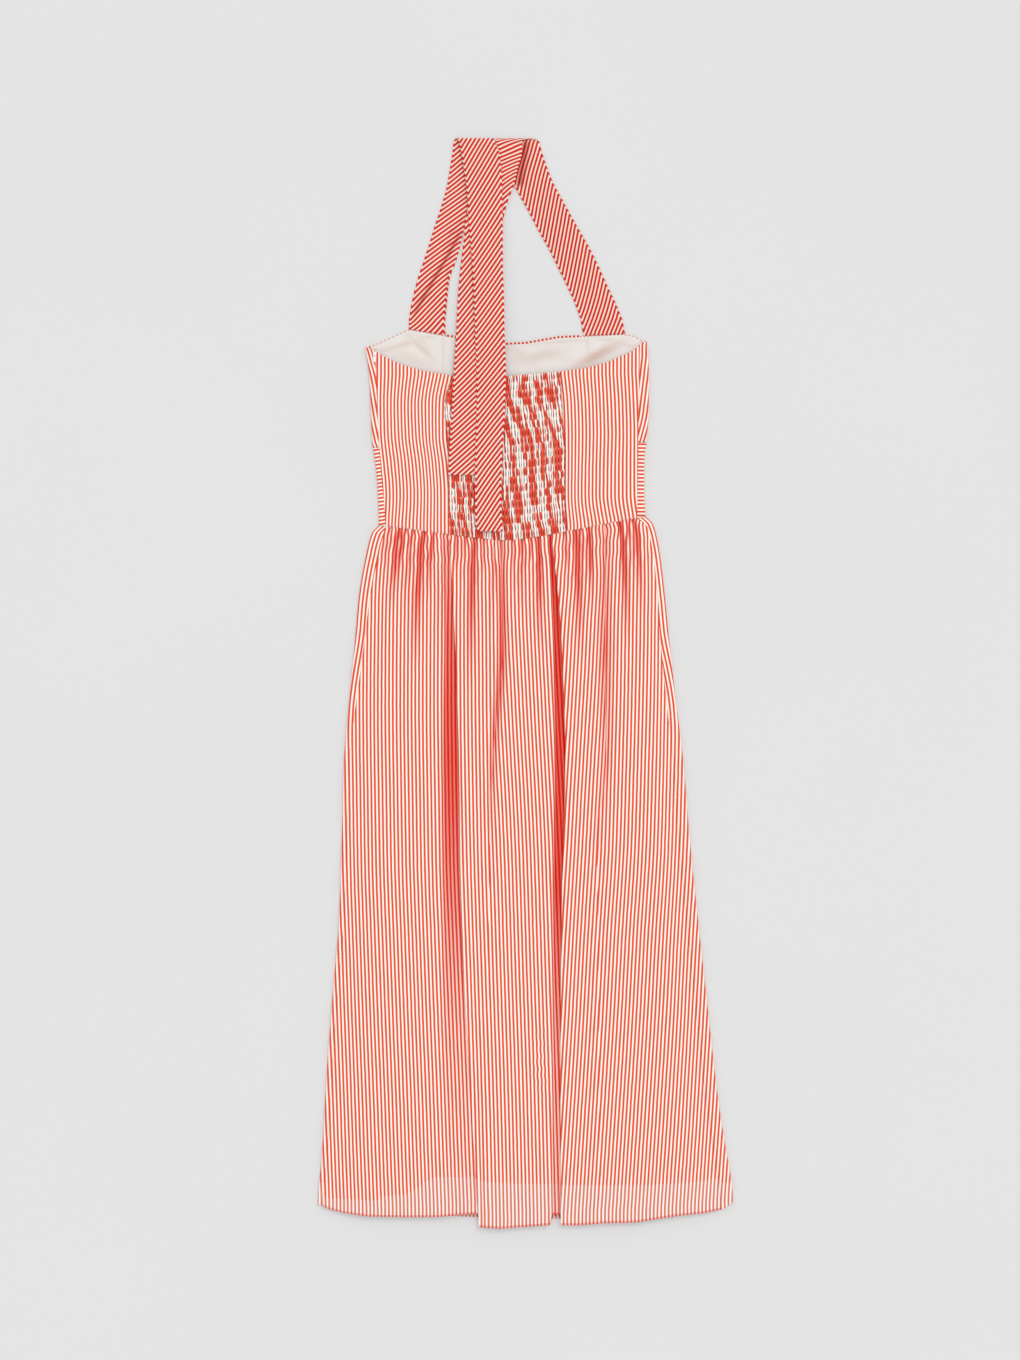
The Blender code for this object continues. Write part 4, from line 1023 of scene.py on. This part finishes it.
leftStrap = {
    "name": "halterStrapLeftCloth",
    "up": [1226, 1247, 1280, 1307, 1330, 1353, 1377, 1405, 1434, 1453],
    "left": [-157.5, -154, -146, -137, -129.5, -122.5, -114.5, -106.5, -101.5, -98.5],
    "right": [-108, -106, -102.5, -93, -87, -82, -78, -65, -51, -43.5],
    "tailUp": [1463, 1453, 1441, 1422, 1400, 1375, 1344, 1309, 1253, 1199, 1160, 1105, 1033, 985, 950, 940],
    "tailLeft": [-90.5, -87, -85, -82, -79, -77.5, -75.5, -72.5,
                 -69.5, -67.5, -66, -66, -68, -68, -67.5, -64],
    "tailRight": [-42, -36, -34, -32, -31.5, -31, -30.5, -30.5,
                  -29, -28, -26.5, -27.5, -31.5, -32.5, -31, -30.5],
    "tailHeight": [5.8, 5.8, 5.8, 5.8, 5.8, 5.9, 6.0, 6.6, 8.6, 10.8, 12.0, 12.0, 11.9, 11.9, 11.8, 11.7],
    # The stripes' angle from straight across, by height: on the way up and on the tail
    "leanUp": dict(up=[1253, 1280, 1307, 1361, 1415], angle=[47, 42, 38, 36, 41]),
    "leanTail": dict(up=[983, 1064, 1145, 1226, 1307, 1388, 1442], angle=[57, 52, 51, 54, 56, 58, 60]),
    # Creases on the way up: ends across and up, width, depth, and how much shade is painted along them
    "creases": ((-86, 1346, -152, 1231, 2.6, 0.7, 0.85), (-84, 1362, -106, 1336, 1.5, 0.3, 0.45),
                (-84, 1352, -112, 1318, 1.5, 0.3, 0.45), (-104, 1300, -108, 1225, 2.2, 0.4, 0.3)),
    "edgeTurn": dict(up=[1206, 1220, 1285, 1305, 1320], width=[3.2, 3.2, 2.6, 1.4, 1.4]),
    "foot": 0.0,             # how far the sewn-in end stands to the side
    "seed": 41,
}
rightStrap = {
    "name": "halterStrapRightCloth",
    "up": [1226, 1247, 1269, 1301, 1323, 1345, 1368, 1388, 1410, 1434, 1453],
    "left": [74.5, 67, 57, 41.5, 30.5, 18, 6, -5, -17, -30, -36],
    "right": [131, 122.5, 112, 97.5, 86.5, 74, 61, 50, 38, 28.5, 22],
    "tailUp": [1463, 1449, 1433, 1409, 1385, 1363, 1337, 1307, 1261, 1199, 1156, 1103, 1040, 1016],
    "tailLeft": [-40, -46, -54, -64, -74, -81, -83, -86.5, -91, -94, -96.5, -99.5, -103, -104],
    "tailRight": [-3.5, -5, -9.5, -15, -24, -29.5, -34, -38, -42, -46, -48, -50, -52, -52.5],
    "tailHeight": [3.4, 3.4, 3.4, 3.4, 3.4, 3.4, 3.4, 3.5, 4.6, 7.6, 9.6, 9.8, 9.8, 9.8],
    "leanUp": dict(up=[1219, 1239, 1293, 1347, 1401, 1442], angle=[68, 74, 80, 81, 80, 74]),
    "leanTail": dict(up=[1064, 1145, 1226, 1400, 1418, 1430, 1450], angle=[42, 46, 52, 46, 38, 29, 22]),
    # The first crease is a painted shadow beside the strap's tail where it lies over the strap; the second
    # only lifts the cloth
    "creases": ((1, 1470, -9, 1404, 5.5, 0.6, 0.9), (12, 1466, 4, 1400, 3.0, -0.3, 0.0)),
    "edgeTurn": dict(up=[1206, 1470], width=[1.4, 1.4]),
    "foot": 3.5,
    "seed": 47,
}
strapShape = {"low": 0.8, "crown": 0.3, "topFold": 1471.0, "step": 3.2, "lowest": 0.62, "edgeDrop": 0.35,
              "turned": 1.4, "wrinkle": 0.55, "edgePull": 0.25,
              "columns": np.concatenate([[0, 0.014, 0.03, 0.05, 0.073], np.linspace(0.1, 0.9, 17),
                                         [0.927, 0.95, 0.97, 0.986, 1]])}


def biasStripes(x, up, s, lean, way):
    # The print runs at an angle to the strap that changes slowly along it, at an even pitch
    left, right = x[:, :1], x[:, -1:]
    middle = (left[:, 0] + right[:, 0]) / 2
    centre = len(s[0]) // 2
    angle = np.radians(curveAt(lean["up"], lean["angle"], up[:, centre]))
    along = s[:, centre]
    slope = np.gradient(middle, along) * np.sin(angle) - way * np.cos(angle)
    shift = np.concatenate([[0], np.cumsum((slope[1:] + slope[:-1]) / 2 * np.diff(along))])
    return (x - middle[:, None]) * np.sin(angle)[:, None] + shift[:, None]


def strapKeys(settings):
    # Rows of left, right, up and height: up the dress, round the top fold and down the tail
    low = strapShape["low"]
    keys = [(left, right, up, low)
            for up, left, right in zip(settings["up"], settings["left"], settings["right"])]
    first = len(keys)
    radius = (settings["tailHeight"][0] - low) / 2
    centre = strapShape["topFold"] - radius - 0.8
    for turn in np.linspace(0, 1, 9):
        share = 0.2 + 0.8 * turn
        left = settings["left"][-1] + (settings["tailLeft"][0] - settings["left"][-1]) * share
        right = settings["right"][-1] + (settings["tailRight"][0] - settings["right"][-1]) * share
        angle = -pi / 2 + pi * turn
        keys.append((left, right, centre + radius * cos(angle), low + radius + radius * sin(angle)))
    last = len(keys) - 1
    tail = zip(settings["tailLeft"], settings["tailRight"], settings["tailUp"], settings["tailHeight"])
    keys += list(tail)[1:]
    return np.array(keys, float), first, last


def makeStrap(settings):
    across = strapShape["columns"]
    keys, turnStart, turnEnd = strapKeys(settings)
    length = polyline(np.stack([(keys[:, 0] + keys[:, 1]) / 2, keys[:, 2], keys[:, 3]], 1))
    samples = np.unique(np.concatenate([np.arange(0, length[-1], strapShape["step"]),
                                        length[turnStart:turnEnd + 1], [length[-1]]]))
    rows = np.stack([curveAt(length, keys[:, i], samples) for i in range(4)], 1)
    grid, s, flat = [], [], []
    x0 = keys[0, 0] + (keys[0, 1] - keys[0, 0]) * across
    neck = lineAt(frontNeck["across"], frontNeck["up"], x0) + layers["seamGap"]
    for share in np.linspace(0, 1, 7)[:-1]:      # from the neckline up to the first row
        y = neck + (keys[0, 2] - neck) * share
        foot = x0 + settings["foot"] * (1 - share)
        grid.append(np.stack([foot, y, np.full_like(x0, strapShape["low"])], 1))
        s.append(y - keys[0, 2])
        flat.append(0.2 + 0.8 * share)
    for (left, right, up, height), at in zip(rows, samples):
        x = left + (right - left) * across
        grid.append(np.stack([x, np.full_like(x, up), np.full_like(x, height)], 1))
        s.append(np.full_like(x, at))
        flat.append(1.0)
    grid, s, flat = np.array(grid), np.array(s), np.array(flat)
    width = (across - 0.5)[None, :] * np.linalg.norm(grid[:, -1, :] - grid[:, 0, :], axis=1)[:, None]
    turnFrom, turnTo = length[turnStart], length[turnEnd]
    inTurn = (s > turnFrom - 4) & (s < turnTo + 4)
    tail = s > (turnFrom + turnTo) / 2
    middle = np.sin(pi * across)[None, :] * flat[:, None]
    side = np.abs(2 * across - 1)[None, :]
    # Bias cloth ripples a little along its stripes, more beside the sewn edges
    wrinkle = 0.5 + 0.5 * ripples(width * 0.8 + s * 0.5, s, (23, 37, 15), settings["seed"])
    pulled = strapShape["edgePull"] * side ** 3 * (0.5 + 0.5 * np.sin(s / 3.4 + 1.7 * np.sin(s / 21.0)))
    lift = strapShape["crown"] * middle + strapShape["wrinkle"] * wrinkle * middle + pulled
    flatX, flatUp = grid[:, :, 0].copy(), grid[:, :, 1].copy()
    grid[:, :, 2] += (lift - strapShape["edgeDrop"] * side ** 8 * tail) * np.where(inTurn, 0.25, 1.0)
    # Painted shade along the creases, as the table gives it
    dark = np.zeros(s.shape)
    for x1, up1, x2, up2, wide, depth, tone in settings["creases"]:
        run = np.hypot(x2 - x1, up2 - up1)
        along = ((flatX - x1) * (x2 - x1) + (flatUp - up1) * (up2 - up1)) / run / run
        aside = ((flatUp - up1) * (x2 - x1) - (flatX - x1) * (up2 - up1)) / run
        shape = soft(np.minimum(along, 1 - along) * 6 + 0.3) * np.exp(-(aside / wide) ** 2) * ~tail
        grid[:, :, 2] -= depth * shape * ~inTurn
        dark = np.maximum(dark, tone * shape)
    grid[:, :, 2] = np.maximum(grid[:, :, 2], strapShape["lowest"])
    wall = np.full(grid.shape[:2], layers["strapWall"]) - 0.5 * (side > 0.97)
    # The print turns back where the strap's edge is folded
    turned = strapShape["turned"]
    edgeTurn = settings["edgeTurn"]
    edgeWidth = np.where(tail, turned, lineAt(edgeTurn["up"], edgeTurn["width"], flatUp))
    fromLeft, fromRight = flatX - flatX[:, :1], flatX[:, -1:] - flatX
    printX = np.where(fromLeft < turned, flatX + 2 * (turned - fromLeft), flatX)
    printX = np.where(fromRight < edgeWidth, flatX - 2 * (edgeWidth - fromRight), printX)
    # Before the fold one face of the strap is up, after it the other one
    faces = []
    for lean, way in ((settings["leanTail"], -1), (settings["leanUp"], 1)):
        u = biasStripes(flatX, flatUp, s, lean, way)
        u = np.array([np.interp(printX[i], flatX[i], u[i]) for i in range(len(u))])
        faces.append(np.stack([u, s], 2))
    return makeShell(settings["name"], grid, wall, faces[0], under=faces[1],
                     marks={"paintedShade": dark, "aboveLining": np.full(s.shape, 50.0)})


skirtBack = makeBackSkirt()
skirtFront = makeFrontSkirt()
skirtLining = makeSkirtLining()
print("skirt ready")
bodiceFront = makeBodiceFront()
midriff = makeMidriff()
liningPieces = makeBodiceLining()
backLeft = makeBackPanel("backLeftCloth", "left", lambda up: bodiceSeams(up)[0] + halfGap,
                         lambda up: smockEdge("left", up) - halfGap)
backRight = makeBackPanel("backRightCloth", "right", lambda up: smockEdge("right", up) + halfGap,
                          lambda up: bodiceSeams(up)[1] - halfGap)
backSmocked = makeSmocking()
print("bodice ready")
strapLeft = makeStrap(leftStrap)
strapRight = makeStrap(rightStrap)
print("straps ready")


# Zip tape, and its coil of teeth

zipSizes = {"top": 1183.0, "end": 925.0, "level": 4.7, "edges": (-3.0, 0.0, 3.5, 7.0), "wall": 0.8,
            "toothPitch": 1.4, "toothWidth": 1.5, "toothLength": 0.8, "toothHeight": 0.45}


def zipLine(up):
    if up > 950:
        return float(bodiceSeams(up)[0])
    return float(sideSeamsOfSkirt(min(up, 940.0))[0])


def makeZipTape():
    grid = []
    for up in np.linspace(zipSizes["top"], zipSizes["end"], 60):
        grid.append([(zipLine(up) + edge, up, zipSizes["level"]) for edge in zipSizes["edges"]])
    grid = np.array(grid)
    return makeShell("zipTapeCloth", grid, zipSizes["wall"], grid[:, :, :2])


def pathObject(name, lines):         # polylines as bare edges, for a nodes modifier to follow
    points, edges = [], []
    for line in lines:
        first = len(points)
        points += inMetres(line).tolist()
        edges += [(first + i, first + i + 1) for i in range(len(line) - 1)]
    mesh = bpy.data.meshes.new(name)
    mesh.from_pydata(points, edges, [])
    return finishPiece(name, mesh)


def makeRowTree(name, boxed):        # small shapes set along a path: stitches as rounds, teeth as blocks
    tree = bpy.data.node_groups.new(name, "GeometryNodeTree")
    tree.interface.new_socket("Geometry", in_out="INPUT", socket_type="NodeSocketGeometry")
    for title, value in (("Spacing", 0.003), ("Length", 0.002), ("Width", 0.0006), ("Height", 0.0005)):
        tree.interface.new_socket(title, in_out="INPUT", socket_type="NodeSocketFloat").default_value = value
    tree.interface.new_socket("Seed", in_out="INPUT", socket_type="NodeSocketInt").default_value = 7
    tree.interface.new_socket("Material", in_out="INPUT", socket_type="NodeSocketMaterial")
    tree.interface.new_socket("Geometry", in_out="OUTPUT", socket_type="NodeSocketGeometry")
    given = addNode(tree, "NodeGroupInput").outputs
    line = addNode(tree, "GeometryNodeMeshToCurve", {"Mesh": given["Geometry"]})
    even = addNode(tree, "GeometryNodeResampleCurve", {"Curve": line.outputs[0], "Length": given["Spacing"]},
                   mode="LENGTH")
    tangent = addNode(tree, "GeometryNodeInputTangent")
    turned = addNode(tree, "FunctionNodeAlignRotationToVector", {"Vector": tangent.outputs[0]}, axis="X",
                     pivot_axis="Z")
    size = addNode(tree, "ShaderNodeCombineXYZ", {0: given["Length"], 1: given["Width"], 2: given["Height"]})
    if boxed:
        shape = addNode(tree, "GeometryNodeMeshCube", {"Size": size.outputs[0]})
    else:
        sphere = addNode(tree, "GeometryNodeMeshUVSphere", {"Segments": 6, "Rings": 4, "Radius": 0.5})
        shape = addNode(tree, "GeometryNodeTransform",
                        {"Geometry": sphere.outputs[0], "Scale": size.outputs[0]})
    uneven = addNode(tree, "FunctionNodeRandomValue", {2: 0.85, 3: 1.1, "Seed": given["Seed"]},
                     data_type="FLOAT")
    placed = addNode(tree, "GeometryNodeInstanceOnPoints",
                     {"Points": even.outputs[0], "Instance": shape.outputs[0],
                      "Rotation": turned.outputs[0], "Scale": uneven.outputs[1]})
    real = addNode(tree, "GeometryNodeRealizeInstances", {"Geometry": placed.outputs[0]})
    painted = addNode(tree, "GeometryNodeSetMaterial",
                      {"Geometry": real.outputs[0], "Material": given["Material"]})
    addNode(tree, "NodeGroupOutput", {"Geometry": painted.outputs[0]})
    return tree


def runRow(name, tree, lines, values):       # the nodes' result becomes a plain mesh
    path = pathObject(name + "Path", lines)
    modifier = path.modifiers.new("row", "NODES")
    modifier.node_group = tree
    for item in tree.interface.items_tree:
        if item.in_out == "INPUT" and item.name in values:
            modifier[item.identifier] = values[item.name]
    graph = bpy.context.evaluated_depsgraph_get()
    mesh = bpy.data.meshes.new_from_object(path.evaluated_get(graph))
    mesh.name = name
    bpy.data.objects.remove(path)
    mesh.shade_smooth()
    return finishPiece(name, mesh)


stitchTree = makeRowTree("stitchRow", False)
toothTree = makeRowTree("zipTeethRow", True)
zipTape = makeZipTape()

# Stitch sizes in metres, drawn about twice as thick as real thread
stitchSizes = {"Spacing": 0.0030, "Length": 0.0022, "Width": 0.0005, "Height": 0.0004, "Seed": 7,
               "Material": thread}


def gridOf(piece, columns):          # the upper wall's points of a shell, in mm, rows by columns
    points = np.zeros(len(piece.data.vertices) * 3)
    piece.data.vertices.foreach_get("co", points)
    points = points.reshape(-1, 3)[:len(piece.data.vertices) // 2] * 1000 + [0, layers["dressLength"] / 2, 0]
    return points.reshape(-1, columns, 3)


def insetRow(grid, row, inset):      # a row of a grid moved into the piece by a few mm
    out = []
    for column in range(grid.shape[1]):
        start = grid[row, column]
        way = grid[row + (3 if row == 0 else -3), column] - start
        out.append(start + way / max(np.linalg.norm(way), 1e-6) * inset)
    return np.array(out)


foldColumns = sum(13 * fold["steps"] - 1 for fold in backSkirt["folds"])
skirtTop = gridOf(skirtBack, sum(backSkirt["columns"]) + foldColumns)
smockTop = gridOf(backSmocked, smocking["tubes"] * smocking["perTube"] + 1)
backTops = [gridOf(piece, backBodice["columns"]) for piece in (backLeft, backRight)]

waistStitches = runRow("waistStitches", stitchTree,
                       [insetRow(top, -1, 1.6) + [0, 0, 0.15] for top in backTops], stitchSizes)
hemRow = skirtTop[-4] + [0, 0, 0.1]
hemStitches = runRow("hemStitches", stitchTree, [hemRow[:backSkirt["columns"][0]]], stitchSizes)
shirring = [smockTop[row * smocking["perRow"]][2::4] + [0, 0, 0.05] for row in range(1, smocking["rows"])]
shirringStitches = runRow("shirringStitches", stitchTree, shirring,
                          dict(stitchSizes, Spacing=0.0034, Length=0.0016, Width=0.0004, Height=0.0003))
neckPlaces = np.arange(-190, 150, 4.0)
neckHeights = lineAt(frontNeck["across"], frontNeck["up"], neckPlaces) - 6.0
neckStitches = runRow("liningNeckStitches", stitchTree,
                      [[(x, float(up), 2.45) for x, up in zip(neckPlaces, neckHeights)]],
                      dict(stitchSizes, Spacing=0.0028, Length=0.0018, Seed=3))
teethLine = [(zipLine(up), up, 5.2) for up in np.linspace(1168, zipSizes["end"] + 2, 80)]
zipTeeth = runRow("zipTeeth", toothTree, [teethLine],
                  {"Spacing": zipSizes["toothPitch"] / 1000, "Length": zipSizes["toothLength"] / 1000,
                   "Width": zipSizes["toothWidth"] / 1000, "Height": zipSizes["toothHeight"] / 1000,
                   "Seed": 2, "Material": tapeWeave})
print("sewing and zip ready")


# The front neckline's rolled edge between the straps

neckRoll = {"radius": 1.5, "height": 1.65, "stretch": 0.95, "from": -107.0, "to": 73.5, "step": 1.6,
            "sides": 10}


def makeNeckRoll():
    sides = neckRoll["sides"]
    xs = np.arange(neckRoll["from"], neckRoll["to"], neckRoll["step"])
    neck = lineAt(frontNeck["across"], frontNeck["up"], xs)
    line = np.stack([xs, neck, np.full_like(xs, neckRoll["height"])], 1)
    along = np.gradient(line, axis=0)
    along /= np.linalg.norm(along, axis=1, keepdims=True)
    aside = np.cross(along, [0, 0, 1.0])
    points, places, faces = [], [], []
    for i in range(len(xs)):
        for k in range(sides):
            angle = 2 * pi * k / sides
            outwards = aside[i] * cos(angle) + np.array([0, 0, 1]) * sin(angle)
            points.append(line[i] + neckRoll["radius"] * outwards)
            places.append((xs[i] * neckRoll["stretch"] + 0.6 * sin(angle), line[i][1]))
    for i in range(len(xs) - 1):
        for k in range(sides):
            a, b = i * sides + k, i * sides + (k + 1) % sides
            faces.append((a, b, b + sides, a + sides))
    faces.append(tuple(reversed(range(sides))))
    faces.append(tuple(range(len(points) - sides, len(points))))
    mesh = bpy.data.meshes.new("frontNeckRoll")
    mesh.from_pydata(inMetres(points).tolist(), [], faces)
    setPattern(mesh, places)
    setMark(mesh, "aboveLining", np.full(len(points), 50.0))
    mesh.shade_smooth()
    return finishPiece("frontNeckRoll", mesh)


neckRollPiece = makeNeckRoll()

# What each cloth piece rides on and stands for, and its cut: flat size in metres, how it is held,
# and the area in square metres where the cut isn't a rectangle

clothPieces = (
    (skirtBack, "skirt_back", cotton, "striped_cotton", (0.68, 0.95), "gathered", 0.58),
    (skirtFront, "skirt_front", cotton, "striped_cotton", (0.64, 0.95), "gathered", 0.56),
    (skirtLining, "skirt_lining", lining, "white_lining", (1.08, 0.88), "laid", 0.85),
    (bodiceFront, "bodice_front", cotton, "striped_cotton", (0.40, 0.16), "laid", None),
    (midriff, "midriff_front", cotton, "striped_cotton", (0.39, 0.13), "laid", None),
    (liningPieces[0], "bodice_lining_left", lining, "white_lining", (0.11, 0.26), "laid", 0.026),
    (liningPieces[1], "bodice_lining_centre", lining, "white_lining", (0.20, 0.27), "laid", 0.053),
    (liningPieces[2], "bodice_lining_right", lining, "white_lining", (0.09, 0.26), "laid", 0.021),
    (backLeft, "back_left", cotton, "striped_cotton", (0.10, 0.23), "laid", None),
    (backSmocked, "back_smocked", smockedCotton, "striped_cotton", (0.30, 0.23), "gathered", None),
    (backRight, "back_right", cotton, "striped_cotton", (0.11, 0.23), "laid", None),
    (strapLeft, "halter_strap_left", strapCotton, "striped_cotton_bias", (0.047, 0.79), "folded", None),
    (strapRight, "halter_strap_right", strapCotton, "striped_cotton_bias", (0.052, 0.75), "folded", None),
    (zipTape, "zip_tape", tapeWeave, "white_tape", (0.010, 0.26), "laid", None),
)
for piece, node, material, slotName, *_ in clothPieces:
    piece.data.materials.append(material)
    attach(piece, "dress")
    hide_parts(node)
trimPieces = (
    (waistStitches, "white_lining"), (hemStitches, "white_lining"), (shirringStitches, "white_lining"),
    (neckStitches, "white_lining"), (zipTeeth, "white_tape"), (neckRollPiece, "striped_cotton_bias"),
)
for piece, slotName in trimPieces:
    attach(piece, "dress")
neckRollPiece.data.materials.append(strapCotton)

for nodeName in ("zip_slider", "zip_pull"):
    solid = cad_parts[nodeName]
    solid.data.materials.clear()
    solid.data.materials.append(enamel)

print("pieces placed")


# Floor, light and camera

def makeFloor():
    size, level = studio["floor"]["size"], studio["floor"]["level"]
    corners = [(-size, -size, level), (size, -size, level), (size, size, level), (-size, size, level)]
    mesh = bpy.data.meshes.new("studioFloor")
    mesh.from_pydata(corners, [], [(0, 1, 2, 3)])
    floor = finishPiece("studioFloor", mesh)
    # Matt painted board: pale neutral grey with the faintest cloudiness, lit from below as a light table is
    material, tree, shader = newMaterial("mattPaintedBoard")
    place = addNode(tree, "ShaderNodeTexCoord").outputs["Object"]
    tone = mixColours(tree, cloudiness(tree, place, 2.0, 2.0), "#B3B3B3", "#B5B5B5")
    finishMaterial(tree, shader, tone, None, {
        "Roughness": 0.9, "Specular IOR Level": 0.0, "Emission Color": hexColor("#FFFFFF"),
        "Emission Strength": 0.27})
    floor.data.materials.append(material)


studio = {
    "sky": 0.86,
    "floor": dict(size=25.0, level=-0.0004),
    "key": dict(towards=(0.55, 1.0, 1.9), softness=0.45, power=0.93),
    "camera": dict(place=(-0.0209, 0.0034, 4.335), lens=85.0, sensor=36.0),
}


def addSoftLight(name, towards, softness, power):    # a far lamp, so the board is lit evenly
    data = bpy.data.lights.new(name, "SUN")
    data.angle = softness
    data.energy = power
    light = bpy.data.objects.new(name, data)
    light.rotation_euler = Vector(towards).to_track_quat("Z", "Y").to_euler()
    bpy.context.scene.collection.objects.link(light)


def makeStudio():
    makeFloor()
    world = bpy.data.worlds.new("paleStudio")
    world.use_nodes = True
    background = world.node_tree.nodes["Background"]
    background.inputs["Color"].default_value = (1.0, 1.0, 1.0, 1.0)
    background.inputs["Strength"].default_value = studio["sky"]
    scene = bpy.context.scene
    scene.world = world
    scene.view_settings.view_transform = "Standard"
    addSoftLight("keyLight", **studio["key"])
    data = bpy.data.cameras.new("overheadCamera")
    data.lens = studio["camera"]["lens"]
    data.sensor_width = studio["camera"]["sensor"]
    data.clip_end = 50.0
    camera = bpy.data.objects.new("overheadCamera", data)
    camera.location = studio["camera"]["place"]
    scene.collection.objects.link(camera)
    scene.camera = camera


makeStudio()
print("studio ready")
